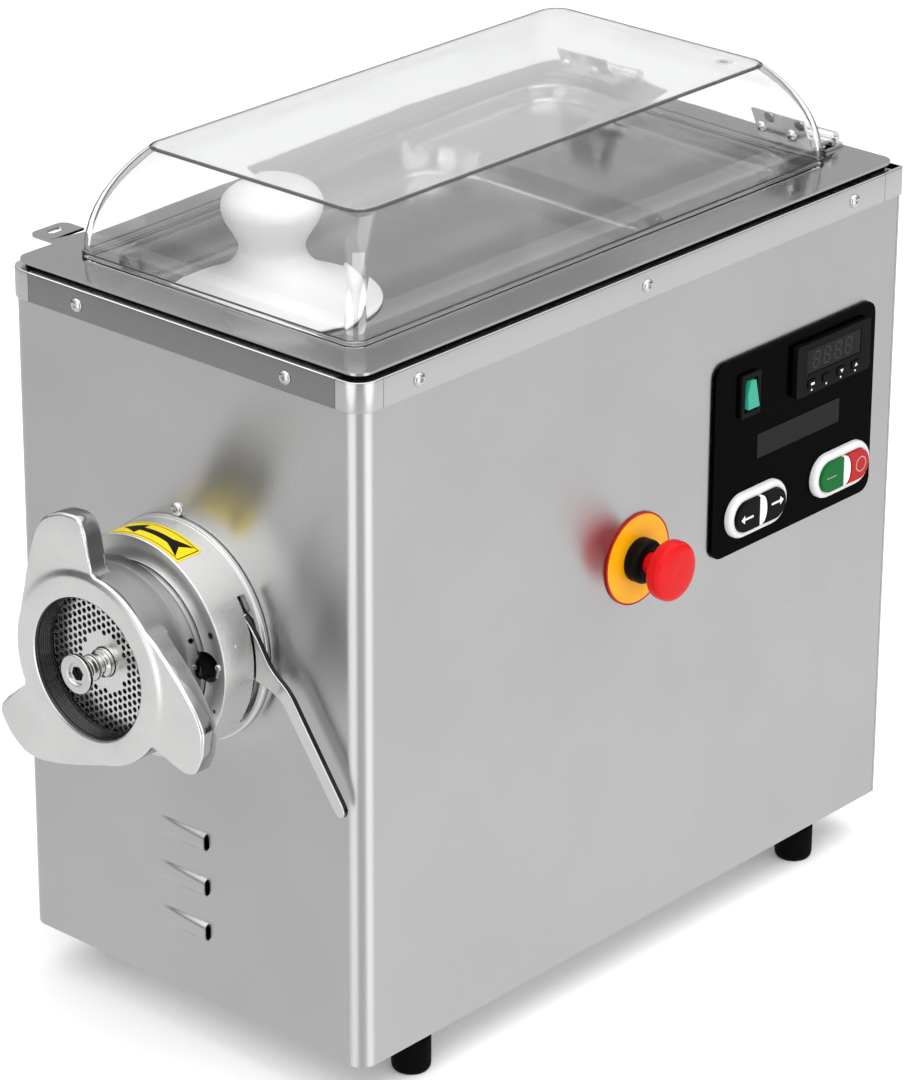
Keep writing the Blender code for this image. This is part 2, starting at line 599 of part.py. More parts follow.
def make_collar():
    """The drum that clamps the barrel, with a slot in its rim for the locking lever."""
    rim, front, back = COLLAR_RADIUS, COLLAR_FRONT, COLLAR_BACK
    inner, bore = rim - 4.0, BARREL_RADIUS + 1.4
    profile = [
        (bore, front), (rim, front), (rim, back - 3.2), (rim + 1.5, back - 3.2),
        (rim + 1.5, back), (57.0, back), (57.0, back - 3), (inner, back - 3), (inner, front + 6),
        (bore, front + 6),
    ]
    centre = (0.0, AXIS_Z)
    collar = turned("head_collar", profile, "cast_steel", axis="y", centre=centre, sides=40, ring=True)

    def at(radius, angle):
        a = math.radians(angle)
        return radius * math.cos(a), AXIS_Z + radius * math.sin(a)

    slot = arc(0.0, AXIS_Z, inner - 1.5, -36, 36, 4) + arc(0.0, AXIS_Z, rim + 6, 36, -36, 4)
    cut(
        collar,
        cutter(prism, "lever_slot", slot, LEVER_FRONT - 1.0, LEVER_BACK + 1.0, axis="y"),
        cutter(prism, "drain_hole", circle(9.5, 16, *at(56.0, 4.0)), front - 5, front + 10, axis="y"),
        cutter(prism, "pin_hole", circle(2.2, 8, *at(64.0, 23.0)), front - 5, front + 10, axis="y"),
    )
    arm = [
        (50.0, 30.0), (60.0, 30.5), (71.0, 21.5), (84.0, 3.0), (99.0, -7.5), (141.5, -68.0),
        (142.5, -72.0), (140.5, -76.0), (136.0, -77.5), (132.0, -75.0), (90.0, -18.0),
        (80.0, -13.0), (70.0, -9.5), (50.0, -9.5),
    ]
    arm = [(x, AXIS_Z + z) for x, z in arm]
    sleeve = [
        (55.2, LEVER_FRONT), (64.5, LEVER_FRONT), (64.5, LEVER_BACK), (55.2, LEVER_BACK)
    ]
    lever = turned(
        "lock_lever", sleeve, "polished_steel", axis="y", centre=centre, sides=28, ring=True,
        origin=(0.0, LEVER_BACK, AXIS_Z),
    )
    unite(lever, prism("arm", arm, LEVER_FRONT, LEVER_BACK, "polished_steel", axis="y", helper=True))
    bore_outline = circle(55.2, 28, *centre)
    cut(lever, cutter(prism, "lever_bore", bore_outline, LEVER_FRONT - 3, LEVER_BACK + 3, axis="y"))


# ---------------------------------------------------------------- drive and cooling


def gear_outline(teeth, centre, turn):
    """Straight-sided teeth of the common module, thinned for running clearance."""
    pitch = GEAR_MODULE * teeth / 2
    root, tip = pitch - 1.15 * GEAR_MODULE, pitch + 0.8 * GEAR_MODULE
    step = 360.0 / teeth
    points = []
    for k in range(teeth):
        for share, radius in ((-0.30, root), (-0.11, tip), (0.11, tip), (0.30, root)):
            a = math.radians(turn + step * (k + share))
            points.append((centre[0] + radius * math.cos(a), centre[1] + radius * math.sin(a)))
    return points


def make_drive():
    """Gearbox, output shaft with its gear, motor, and motor shaft with its pinion."""
    centre, motor_centre = (0.0, AXIS_Z), (0.0, MOTOR_Z)
    low, high = GEARBOX_FRONT, GEARBOX_BACK
    wall, x, top, bottom = 6.0, 62.0, AXIS_Z + 62.0, MOTOR_Z - 24.0
    casing = rounded(-x, x, bottom, top, 20.0, 3)
    housing = prism("gearbox_housing", casing, low, high - 8, "aluminium", axis="y")
    hollow = rounded(-x + wall, x - wall, bottom + wall, top - wall, 15.0, 3)
    cut(
        housing,
        cutter(prism, "gearbox_hollow", hollow, low + wall, high, axis="y"),
        cutter(prism, "output_bore", circle(18.5, 20, *centre), low - 5, low + 15, axis="y"),
    )
    cover = prism("gearbox_cover", casing, high - 8 + GAP, high, "aluminium", axis="y")
    cut(cover, cutter(prism, "input_bore", circle(9.0, 16, *motor_centre), high - 15, high + 5, axis="y"))
    gear_low, gear_high = low + 16.0, low + 36.0
    shaft = prism(
        "output_shaft", circle(18.0, 20, *centre), BARREL_BACK + 8 + GAP, high - 9, "cast_steel",
        axis="y", origin=(0.0, low, AXIS_Z),
    )
    gear = gear_outline(GEAR_TEETH, centre, 90.0)
    unite(shaft, prism("gear", gear, gear_low, gear_high, "cast_steel", axis="y", helper=True))
    pinion = gear_outline(PINION_TEETH, motor_centre, 90.0 + 180.0 / PINION_TEETH)
    shaft_in = prism(
        "motor_shaft", circle(8.0, 16, *motor_centre), gear_low - 4, high + 30, "cast_steel",
        axis="y", origin=(0.0, high, MOTOR_Z),
    )
    unite(shaft_in, prism("pinion", pinion, gear_low, gear_high, "cast_steel", axis="y", helper=True))
    front = high + GAP
    body = [
        (60.0, front), (60.0, front + 8), (54.0, front + 10), (54.0, MOTOR_BACK - 30),
        (50.0, MOTOR_BACK - 28), (50.0, MOTOR_BACK - 6), (40.0, MOTOR_BACK),
    ]
    motor = turned("motor", body, "aluminium", axis="y", centre=motor_centre, sides=20)
    cut(motor, cutter(prism, "rotor_bore", circle(8.5, 16, *motor_centre), front - 5, high + 31, axis="y"))


def make_cooling():
    pot = [(40.0, 36.0), (62.0, 44.0), (66.0, 60.0), (66.0, 110.0), (58.0, 132.0), (34.0, 142.0)]
    turned("compressor", pot, "dark_paint", centre=(45.0, 150.0), sides=16)
    x, low, high = 112.0, 215.0, 420.0
    block("condenser", (-x, 222.0, low), (x, HALF_Y - 6, high), "aluminium")
    fan_z, fan_front, fan_back = (low + high) / 2, 198.0, 210.0
    blades, points = 5, []
    for k in range(blades):
        base = 360.0 / blades * k
        points += arc(0.0, 0.0, 84.0, base, base + 46, 4)
        points += arc(0.0, 0.0, 24.0, base + 52, base + 66, 1)
    points = [(u, fan_z + v) for u, v in points]
    fan = prism(
        "condenser_fan", points, fan_front, fan_back, "black_plastic", axis="y",
        origin=(0.0, fan_front, fan_z),
    )
    cut(fan, cutter(prism, "fan_bore", circle(4.6, 12, 0.0, fan_z), 190.0, 215.0, axis="y"))
    core = [(28.0, 160.0), (28.0, fan_front - 2), (4.0, fan_front - 1), (4.0, fan_back)]
    turned("fan_motor", core, "dark_paint", axis="y", centre=(0.0, fan_z), sides=16)


# ---------------------------------------------------------------- controls


def make_controls():
    back, front = HALF_X + GAP, PANEL_FRONT
    panel = prism("control_panel", rounded(*PANEL, 9.0, 4), back, front, "black_plastic", axis="x")
    deep = (back - 5, front + 5)

    def window(name, y, z, half_y, half_z, radius=1.5, steps=2):
        outline = rounded(y - half_y, y + half_y, z - half_z, z + half_z, radius, steps)
        cut(panel, cutter(prism, f"window_{name}", outline, *deep, axis="x"))

    window("rocker", ROCKER_Y, ROCKER_Z, 8.2, 12.7)
    window("thermostat", THERMOSTAT_Y, THERMOSTAT_Z, 35.5, 14.5)
    for name, y in (("direction", DIRECTION_Y), ("start", START_Y)):
        window(name, y, CONTROL_Z, 26.4, 12.1, 11.0, 5)
    make_rocker()
    make_thermostat()
    make_double_button("direction", DIRECTION_Y, ("reverse", "black_plastic"), ("forward", "black_plastic"))
    make_double_button("start_stop", START_Y, ("start", "green_plastic"), ("stop", "red_plastic"))
    make_emergency_stop()


def make_rocker():
    """The lit mains switch: a frame through the panel and a rocker that tips about Y."""
    face, depth = PANEL_FRONT, 20.0
    y, z = ROCKER_Y, ROCKER_Z
    flange = rounded(y - 9.5, y + 9.5, z - 14.5, z + 14.5, 1.5, 2)
    frame = prism("rocker_frame", flange, face + GAP, face + 2.3, "black_plastic", axis="x")
    body = rounded(y - 7.9, y + 7.9, z - 12.4, z + 12.4, 1.0, 2)
    unite(frame, prism("rocker_body", body, face - depth, face + 1.0, "black_plastic", axis="x", helper=True))
    well = rounded(y - 6.4, y + 6.4, z - 11.0, z + 11.0, 0.8, 2)
    cut(frame, cutter(prism, "rocker_well", well, face - depth + 3, face + 5, axis="x"))
    pivot_x = face - 3.0
    tilt = math.radians(7.0)
    half_y, half_z, crown, drop = 6.0, 9.8, 6.0, 3.0
    outline = [(half_z, crown + 0.8), (0.0, crown - 0.8), (-half_z, crown + 0.8), (-half_z + 2.4, -drop)]
    outline.append((half_z - 2.4, -drop))

    def turn(u, v):
        return (
            pivot_x + v * math.cos(tilt) - u * math.sin(tilt),
            z + u * math.cos(tilt) + v * math.sin(tilt),
        )

    section = [turn(u, v) for u, v in outline]
    loops = [[(px, y + s * half_y, pz) for px, pz in section] for s in (-1, 1)]
    solid("rocker", loops, "green_plastic", origin=(pivot_x, y, z))


def make_thermostat():
    """The digital controller: a flush bezel, a box behind the panel and four keys."""
    face = PANEL_FRONT
    y, z = THERMOSTAT_Y, THERMOSTAT_Z
    half_y, half_z = 38.0, 17.5
    bezel = rounded(y - half_y, y + half_y, z - half_z, z + half_z, 2.5, 3)
    unit = prism("thermostat", bezel, face + GAP, face + 4.0, "black_plastic", axis="x")
    box = rounded(y - 35.0, y + 35.0, z - 14.0, z + 14.0, 1.0, 2)
    unite(unit, prism("thermostat_box", box, face - 50.0, face + 1.0, "black_plastic", axis="x", helper=True))
    screen = rounded(y - 28.0, y + 28.0, z - 4.0, z + 13.0, 1.5, 2)
    cut(unit, cutter(prism, "screen_recess", screen, face + 3.0, face + 6.0, axis="x"))
    key_z = z - 10.5
    for i in range(4):
        key_y = y + (i - 1.5) * 15.0
        pocket = rounded(key_y - 4.3, key_y + 4.3, key_z - 2.8, key_z + 2.8, 1.0, 2)
        cut(unit, cutter(prism, f"key_pocket_{i}", pocket, face + 1.6, face + 6.0, axis="x"))
        cap = rounded(key_y - 4.0, key_y + 4.0, key_z - 2.5, key_z + 2.5, 0.9, 2)
        prism(
            f"thermostat_key_{i + 1}", cap, face + 3.0, face + 4.8, "black_plastic", axis="x",
            origin=(face + 3.0, key_y, key_z),
        )


def make_double_button(name, y, left, right):
    """A racetrack bezel with two push buttons and a fixed lens bar between them."""
    face, z = PANEL_FRONT, CONTROL_Z
    outer = rounded(y - BEZEL_HALF_WIDTH, y + BEZEL_HALF_WIDTH, z - 15, z + 15, 14.9, 6)
    bezel = prism(f"{name}_bezel", outer, face + GAP, face + 5.0, "white_plastic", axis="x")
    block_outline = rounded(y - 25.8, y + 25.8, z - 11.5, z + 11.5, 11.0, 4)
    unite(
        bezel,
        prism(f"{name}_block", block_outline, face - 24, face + 1, "white_plastic", axis="x", helper=True),
    )

    def half(side, shrink):
        """The rounded half of the racetrack on that side of the lens bar."""
        r = 10.4 - shrink
        bar = 3.5 + shrink
        end = BEZEL_HALF_WIDTH - 15.0
        points = arc(end, 0.0, r, -90, 90, 6) + [(bar, r), (bar, -r)]
        return [(y + side * u, z + v) for u, v in points]

    for side, (button, finish) in ((-1, left), (1, right)):
        well = half(side, 0.0)
        cut(bezel, cutter(prism, f"{button}_well", well, face - 6.0, face + 8.0, axis="x"))
        prism(
            f"{button}_button", half(side, 0.4), face - 3.0, face + 7.0, finish, axis="x",
            origin=(face - 3.0, y + side * 14.0, z),
        )


def make_emergency_stop():
    """The stop switch: a round label, a threaded collar, a sliding stem and a twist-release head."""
    y, z, face = ESTOP_Y, ESTOP_Z, HALF_X + GAP
    centre = (y, z)

    def piece(name, profile, finish, **more):
        start = (face + profile[0][1], y, z)
        heights = [(r, face + h) for r, h in profile]
        return turned(name, heights, finish, axis="x", centre=centre, sides=20, origin=start, **more)

    piece("estop_label", [(11.0, 0.0), (30.0, 0.0), (30.0, 1.2), (11.0, 1.2)], "yellow_plastic", ring=True)
    collar = [(7.4, -12.0), (8.0, -12.0), (8.0, 1.5), (14.2, 1.5), (14.2, 9.0), (12.5, 11.0), (7.4, 11.0)]
    piece("estop_collar", collar, "black_plastic", ring=True)
    piece("estop_stem", [(7.0, -10.0), (7.0, 18.0), (4.0, 18.0), (4.0, 24.0)], "red_plastic")
    tip = ESTOP_X - face
    socket = 4.4
    head = [
        (socket, tip - 15.2), (10.0, tip - 15.2), (11.0, tip - 13.5), (17.5, tip - 11.5),
        (19.3, tip - 9.0), (19.3, tip - 5.0), (17.0, tip - 2.0), (11.0, tip - 0.5), (1.0, tip),
        (1.0, tip - 8.0), (socket, tip - 8.0),
    ]
    piece("estop_head", head, "red_plastic", ring=True)


def main():
    for obj in list(bpy.data.objects):
        bpy.data.objects.remove(obj)
    frame = bpy.data.objects.new("machine_frame", None)
    bpy.context.scene.collection.objects.link(frame)
    frame.location = ROW_OFFSET * MM
    make_cabinet()
    make_band()
    make_tray()
    make_lid()
    make_pusher()
    make_barrel()
    make_auger()
    make_knife_and_plate()
    make_ring_nut()
    make_collar()
    make_drive()
    make_cooling()
    make_controls()


main()
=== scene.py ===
"""Looks of a refrigerated counter-top meat mincer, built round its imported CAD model.

The CAD model gives every place and size: Span reads a node's box in millimetres of the
cabinet's own frame, whose origin is on the floor under the middle of the four feet. Pieces
that need a finer surface are built here and stand for their CAD node, and the other CAD nodes
get better materials.
"""

import math

import bmesh
import bpy
from mathutils import Matrix, Vector


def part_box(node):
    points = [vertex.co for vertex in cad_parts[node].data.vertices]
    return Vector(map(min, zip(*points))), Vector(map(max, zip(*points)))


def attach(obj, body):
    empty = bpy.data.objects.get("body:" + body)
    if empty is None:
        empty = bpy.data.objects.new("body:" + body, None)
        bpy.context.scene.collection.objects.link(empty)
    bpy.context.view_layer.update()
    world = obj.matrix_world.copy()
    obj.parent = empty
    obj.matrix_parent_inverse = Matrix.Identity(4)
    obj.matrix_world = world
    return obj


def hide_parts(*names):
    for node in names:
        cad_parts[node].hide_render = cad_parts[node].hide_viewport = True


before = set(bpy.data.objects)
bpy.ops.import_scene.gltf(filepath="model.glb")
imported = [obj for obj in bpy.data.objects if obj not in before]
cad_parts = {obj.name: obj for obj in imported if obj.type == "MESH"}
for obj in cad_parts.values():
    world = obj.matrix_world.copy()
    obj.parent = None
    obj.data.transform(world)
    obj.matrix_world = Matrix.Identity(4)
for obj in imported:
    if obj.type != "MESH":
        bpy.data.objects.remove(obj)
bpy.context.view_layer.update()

MM = 0.001
FEET = ("foot_front_left", "foot_front_right", "foot_rear_left", "foot_rear_right")
FLOOR_MIDDLE = sum((sum(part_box(foot), Vector()) / 2 for foot in FEET), Vector()) / len(FEET)
ORIGIN = Vector((FLOOR_MIDDLE.x, FLOOR_MIDDLE.y, 0.0))


class Span:
    """A CAD node's box in millimetres of the cabinet's frame."""

    def __init__(self, node):
        low, high = ((corner - ORIGIN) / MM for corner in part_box(node))
        self.x0, self.y0, self.z0 = low
        self.x1, self.y1, self.z1 = high
        self.x, self.y, self.z = (low + high) / 2


# ---------------------------------------------------------------- materials


class Nodes:
    """A node tree, and short ways to add nodes to it."""

    def __init__(self, owner):
        owner.use_nodes = True
        self.tree = owner.node_tree

    def node(self, kind, operation=None, **inputs):
        made = self.tree.nodes.new(f"ShaderNode{kind}")
        if operation:
            made.operation = operation
        for socket, value in inputs.items():
            self.feed(made.inputs[socket.replace("_", " ")], value)
        return made

    def feed(self, socket, value):
        if isinstance(value, bpy.types.NodeSocket):
            self.tree.links.new(value, socket)
        else:
            socket.default_value = value

    def math(self, operation, first, second):
        made = self.node("Math", operation)
        self.feed(made.inputs[0], first)
        self.feed(made.inputs[1], second)
        return made.outputs[0]


class Surface(Nodes):
    """A material in the making, round one Principled shader."""

    def __init__(self, name, color, roughness, metallic=0.0, **numbers):
        self.material = bpy.data.materials.new(name)
        super().__init__(self.material)
        self.shader = self.tree.nodes["Principled BSDF"]
        self.color, self.roughness = color, roughness
        self.set("Base Color", (*color, 1.0))
        self.set("Roughness", roughness)
        self.set("Metallic", metallic)
        for socket, number in numbers.items():
            self.set(socket.replace("_", " "), number)
        self.heights = []

    def set(self, socket, value):
        self.shader.inputs[socket].default_value = value

    def place(self, stretch=(1, 1, 1)):
        """The surface's own coordinates in metres, scaled along each axis."""
        own = self.node("TexCoord").outputs["Object"]
        return self.node("Mapping", Vector=own, Scale=stretch).outputs["Vector"]

    def noise(self, scale, detail=3.0, stretch=(1, 1, 1), rough=0.5):
        numbers = {"Scale": scale, "Detail": detail, "Roughness": rough}
        return self.node("TexNoise", Vector=self.place(stretch), **numbers).outputs["Fac"]

    def ramp(self, source, low, high, start=0.35, end=0.65):
        """The source's stretch from start to end, spread from low to high."""
        made = self.node("MapRange", Value=source)
        for socket, value in (("From Min", start), ("From Max", end), ("To Min", low), ("To Max", high)):
            made.inputs[socket].default_value = value
        return made.outputs["Result"]

    def edges(self, low=0.50, high=0.56):
        """1 along convex edges and 0 elsewhere."""
        return self.ramp(self.node("NewGeometry").outputs["Pointiness"], 0.0, 1.0, low, high)

    def blend(self, share, first, second):
        """A colour mixed between two by that share."""
        made = self.node("Mix")
        made.data_type = "RGBA"
        self.feed(made.inputs["Factor"], share)
        for index, color in ((6, first), (7, second)):
            self.feed(made.inputs[index], color if isinstance(color, bpy.types.NodeSocket) else (*color, 1.0))
        return made.outputs[2]

    def tint(self, share, other):
        """Mixes another colour over the base colour by that share."""
        base = self.shader.inputs["Base Color"]
        current = base.links[0].from_socket if base.links else self.color
        self.feed(base, self.blend(share, current, other))

    def roughen(self, *sources):
        """Adds the sources to the plain roughness."""
        total = self.roughness
        for source in sources:
            total = self.math("ADD", source, total)
        self.feed(self.shader.inputs["Roughness"], total)

    def bump(self, height, distance, strength=1.0):
        """A height in millimetres, on top of the bumps given before."""
        made = self.node("Bump", Height=height, Distance=distance * MM, Strength=strength)
        if self.heights:
            self.feed(made.inputs["Normal"], self.heights[-1])
        self.heights.append(made.outputs["Normal"])
        self.feed(self.shader.inputs["Normal"], made.outputs["Normal"])


def grey(level):
    return (level, level, level)


def shade(color, factor):
    return tuple(min(1.0, c * factor) for c in color)


def brushed(name, color, roughness, grain=None, smudge=0.05, strength=1.0, **numbers):
    """Satin sheet steel: soft cloudy smudges and, if asked, fine grain along one axis.

    grain is how often the pattern changes per metre along X, Y and Z, so it is low along the
    brushing and high across it.
    """
    s = Surface(name, color, roughness, 1.0, **numbers)
    clouds = s.noise(9.0, 3.0)
    sources = []
    if grain:
        streaks = s.noise(1.0, 3.0, grain, 0.6)
        s.tint(s.ramp(streaks, 0.0, 0.30 * strength, 0.3, 0.7), shade(color, 0.82))
        sources.append(s.ramp(streaks, -0.05 * strength, 0.06 * strength, 0.3, 0.7))
        s.bump(streaks, 0.012, 0.6 * strength)
    s.tint(s.ramp(clouds, 0.0, 0.35, 0.35, 0.7), shade(color, 0.93))
    s.roughen(*sources, s.ramp(clouds, 0.0, smudge))
    return s.material


def cast(name, color, roughness, grit=900.0, depth=0.05):
    """A blasted and tumbled casting: fine grit, broad mottling and brighter rubbed edges."""
    s = Surface(name, color, roughness, 1.0)
    fine = s.noise(grit, 3.0)
    broad = s.noise(28.0, 4.0)
    s.tint(s.ramp(broad, 0.0, 0.5, 0.35, 0.7), shade(color, 0.86))
    s.tint(s.ramp(fine, 0.0, 0.3, 0.55, 0.75), shade(color, 0.7))
    s.roughen(s.ramp(broad, -0.05, 0.09), s.math("MULTIPLY", s.edges(), -0.10))
    s.bump(fine, depth, 0.5)
    s.bump(broad, 0.25, 0.4)
    return s.material


def polished(name, color, roughness=0.09, rings=None):
    """Polished or turned steel with wiping marks. rings are the tool marks per metre."""
    s = Surface(name, color, roughness, 1.0)
    wiped = s.noise(30.0, 4.0)
    s.tint(s.ramp(wiped, 0.0, 0.4, 0.4, 0.7), shade(color, 0.9))
    sources = [s.ramp(wiped, 0.0, 0.07)]
    if rings:
        marks = s.noise(1.0, 2.0, rings, 0.6)
        sources.append(s.ramp(marks, -0.03, 0.08))
        s.bump(marks, 0.01, 0.5)
    s.roughen(*sources)
    return s.material


def moulded(name, color, roughness, texture=0.01, scale=1400.0, wear=0.25, gloss=0.5):
    """Injection-moulded plastic or rubber: a fine texture, dust in it and paler rubbed edges."""
    s = Surface(name, color, roughness, 0.0, Specular_IOR_Level=gloss)
    fine = s.noise(scale, 2.0)
    broad = s.noise(45.0, 4.0)
    pale = tuple(c + (1.0 - c) * 0.18 for c in color)
    s.tint(s.ramp(broad, 0.0, wear * 0.5, 0.4, 0.75), pale)
    s.tint(s.math("MULTIPLY", s.edges(), wear), pale)
    s.roughen(s.ramp(broad, -0.04, 0.08), s.ramp(fine, 0.0, 0.04))
    s.bump(fine, texture, 0.5)
    return s.material


def glass(name, color, roughness, milky_share=0.0, **numbers):
    """Clear polycarbonate that lets lamps through, fine scratches, and a share of milky white (on the lid's
    top a painted reflection).
    """
    numbers = {"IOR": 1.55, **numbers}
    s = Surface(name, color, roughness, 0.0, Transmission_Weight=1.0 - milky_share, **numbers)
    fine = s.noise(260.0, 3.0, (1, 1, 1), 0.7)
    s.roughen(s.ramp(fine, 0.0, 0.05, 0.55, 0.8))
    s.bump(s.noise(35.0, 2.0), 0.05, 0.25)
    clear = s.node("BsdfTransparent", Color=(0.98, 0.985, 0.985, 1.0))
    choice = s.node("MixShader")
    rays = s.node("LightPath")
    s.feed(choice.inputs[0], rays.outputs["Is Shadow Ray"])
    s.feed(choice.inputs[1], s.shader.outputs[0])
    s.feed(choice.inputs[2], clear.outputs[0])
    s.feed(s.tree.nodes["Material Output"].inputs["Surface"], choice.outputs[0])
    return s.material


STEEL, BRIGHT, DARK = grey(0.64), (0.78, 0.78, 0.77), (0.009, 0.009, 0.010)
ALONG, ACROSS = 6.0, 1900.0  # pattern changes per metre along and across the brushing
LEVEL_GRAIN, SIDEWAYS_GRAIN = (ALONG, ALONG, ACROSS), (ACROSS, ALONG, ALONG)
TURNING_MARKS = (40.0, 2600.0, 40.0)


def make_materials():
    sheen = {"Anisotropic": 0.85, "Anisotropic_Rotation": 0.25}
    coat = {"Coat_Weight": 1.0, "Coat_IOR": 2.6}
    return {
        "casing": brushed("casing_steel", STEEL, 0.27, smudge=0.03, **sheen),
        "trim": brushed("trim_steel", STEEL, 0.22, LEVEL_GRAIN, smudge=0.04, strength=0.5),
        # The front strip is a darker copy of the trim steel: painted shade on the front face.
        "shaded_front_trim": brushed("front_trim_painted_shade", grey(0.30), 0.22, LEVEL_GRAIN, smudge=0.04, strength=0.6),
        # A paler copy of the trim steel for the front strip's level top: painted highlight along the rolled
        # edge.
        "highlit_top_trim": brushed("rolled_edge_painted_highlight", grey(0.92), 0.30, LEVEL_GRAIN, smudge=0.04, strength=0.3),
        # The tray's steel is darker than the cabinet's: painted shade under the lid.
        "tray": brushed("tray_steel_painted_shade", grey(0.47), 0.13, SIDEWAYS_GRAIN, strength=0.4),
        "inner": brushed("unlit_inner_steel", grey(0.05), 0.5, LEVEL_GRAIN),
        "rear": brushed("rear_steel", STEEL, 0.34, LEVEL_GRAIN),
        "base": brushed("base_steel", STEEL, 0.36, SIDEWAYS_GRAIN),
        "cast": cast("tumbled_casting", (0.88, 0.88, 0.87), 0.25),
        "collar": cast("blasted_casting", (0.84, 0.84, 0.83), 0.36, grit=1100.0, depth=0.30),
        "turned": polished("turned_steel", BRIGHT, 0.10, rings=TURNING_MARKS),
        "barrel": polished("mirror_polished_barrel", grey(0.72), 0.035),
        # Polished steel darkened as painted shade, for the nut's sides that face away from the front.
        "shaded_nut_flank": polished("polished_nut_flank_painted_shade", grey(0.40), 0.05),
        # Near-black steel for the lock lever's right-facing sides: painted shade.
        "lever_shaded_flank": polished("lever_flank_painted_shade", grey(0.05), 0.12),
        # Near-black steel for the nut's threaded bore: painted shade in the hollow.
        "bore": polished("threaded_bore_painted_shade", grey(0.07), 0.22),
        "polished": polished("polished_steel", BRIGHT),
        "drilled": brushed("drilled_plate_steel", (0.90, 0.90, 0.89), 0.24, (1500.0, 8.0, 10.0)),
        "screw": polished("screw_steel", grey(0.74), 0.16),
        "lid": glass("lid_polycarbonate", (0.93, 0.935, 0.935), 0.015),
        # A milky copy of the lid's plastic for its flat top: painted reflection of a bright ceiling.
        "lid_top": glass("lid_top_painted_reflection", (0.76, 0.765, 0.765), 0.03, milky_share=0.24),
        # Lid copies: near top edges near black as painted shade, far edges pale and unreflecting as painted
        # light, the front corner strongly reflecting as a painted glint.
        "lid_edge": glass("lid_near_edge_painted_shade", grey(0.02), 0.03),
        "lid_far_edge_painted_light": glass("lid_far_edge_painted_light", grey(0.99), 0.03, IOR=1.03),
        "lid_corner": glass("lid_front_corner_painted_glint", grey(0.90), 0.03, **coat),
        "plug": glass("lid_plug_polycarbonate", grey(0.80), 0.2, milky_share=0.6),
        "white": moulded("white_polyethylene", (0.79, 0.79, 0.785), 0.32, texture=0.02, wear=0.05),
        "rubber": moulded("black_rubber", grey(0.002), 0.62, 0.05, 900.0, wear=0.01, gloss=0.03),
        "black": moulded("black_plastic", grey(0.002), 0.28, texture=0.02, wear=0.01, gloss=0.06),
        "gloss_black": moulded("black_film", grey(0.0004), 0.16, 0.004, 300.0, wear=0.0, gloss=0.02),
        "dark": moulded("dark_display", DARK, 0.22, texture=0.006, wear=0.01, gloss=0.08),
        "plate": moulded("blank_name_plate", DARK, 0.30, texture=0.02, wear=0.01, gloss=0.10),
        "unlit": moulded("unlit_digits", (0.035, 0.035, 0.037), 0.30, wear=0.02, gloss=0.08),
        "silver": moulded("pale_bezel", (0.66, 0.66, 0.67), 0.22),
        "green": moulded("green_button", (0.001, 0.12, 0.022), 0.24, wear=0.01, gloss=0.12),
        "red": moulded("red_button", (0.40, 0.006, 0.006), 0.24, wear=0.01, gloss=0.2),
        "head_red": moulded("red_stop_head", (0.60, 0.003, 0.005), 0.26, 0.015, wear=0.01, gloss=0.2),
        "lens": moulded("white_lens", grey(0.85), 0.18),
        "faint_mark": moulded("worn_white_marks", (0.30, 0.32, 0.30), 0.4),
        "mark": moulded("white_marks", grey(0.80), 0.4),
        "yellow": moulded("yellow_label", (0.86, 0.38, 0.001), 0.34, wear=0.01, gloss=0.3),
        "arrow_yellow": moulded("yellow_sticker", (0.86, 0.66, 0.004), 0.3, wear=0.01, gloss=0.3),
        "lamp_green": moulded("lit_rocker_green", (0.006, 0.32, 0.22), 0.2, 0.02, wear=0.1, gloss=0.4),
        # Black for printed lines, and as painted shade on the disc behind the plate's holes and at the bottom
        # of the stud's socket.
        "ink": moulded("black_ink_and_painted_shade", grey(0.004), 0.4, wear=0.02, gloss=0.10),
        "enamel": moulded("black_enamel", (0.02, 0.02, 0.022), 0.35, texture=0.05, scale=500.0),
        "aluminium": cast("cast_aluminium", (0.60, 0.61, 0.62), 0.42, grit=700.0, depth=0.08),
        "fins": brushed("condenser_fins", (0.52, 0.53, 0.54), 0.4, (900.0, 10.0, 10.0)),
        "copper": polished("copper_tube", (0.72, 0.36, 0.2), 0.25),
    }


LOOK = make_materials()


# ---------------------------------------------------------------- meshes

SHARP = 35  # degrees between two faces from which the edge between them stays sharp


def arc(cx, cy, radius, start, end, steps):
    """steps + 1 points on an arc, with its angles in degrees."""
    angles = [math.radians(start + (end - start) * i / steps) for i in range(steps + 1)]
    return [(cx + radius * math.cos(a), cy + radius * math.sin(a)) for a in angles]


def circle(radius, sides, cx=0.0, cy=0.0, turn=0.0):
    return arc(cx, cy, radius, turn, turn + 360, sides)[:-1]


def rounded(x0, x1, y0, y1, radius, steps=8):
    """A rectangle with round corners, anticlockwise from its lower right corner."""
    r = radius
    corners = ((x1 - r, y0 + r, -90), (x1 - r, y1 - r, 0), (x0 + r, y1 - r, 90), (x0 + r, y0 + r, 180))
    return [p for cx, cy, a in corners for p in arc(cx, cy, r, a, a + 90, steps)]


def inset(box, dx, dy=None):
    dy = dx if dy is None else dy
    x0, x1, y0, y1 = box
    return x0 + dx, x1 - dx, y0 + dy, y1 - dy


def eased(points, radius, steps=4, closed=False):
    """A line through points in a plane with each corner rounded by that radius."""
    count = len(points)
    made = [] if closed else [points[0]]
    for i in range(0 if closed else 1, count if closed else count - 1):
        before, here, after = (Vector(points[k % count]) for k in (i - 1, i, i + 1))
        to_before, to_after = (before - here), (after - here)
        reach = min(radius, to_before.length * 0.45, to_after.length * 0.45)
        start, end = here + to_before.normalized() * reach, here + to_after.normalized() * reach
        for k in range(steps + 1):
            t = k / steps
            made.append(tuple(start * (1 - t) ** 2 + here * 2 * t * (1 - t) + end * t * t))
    return made if closed else [*made, points[-1]]


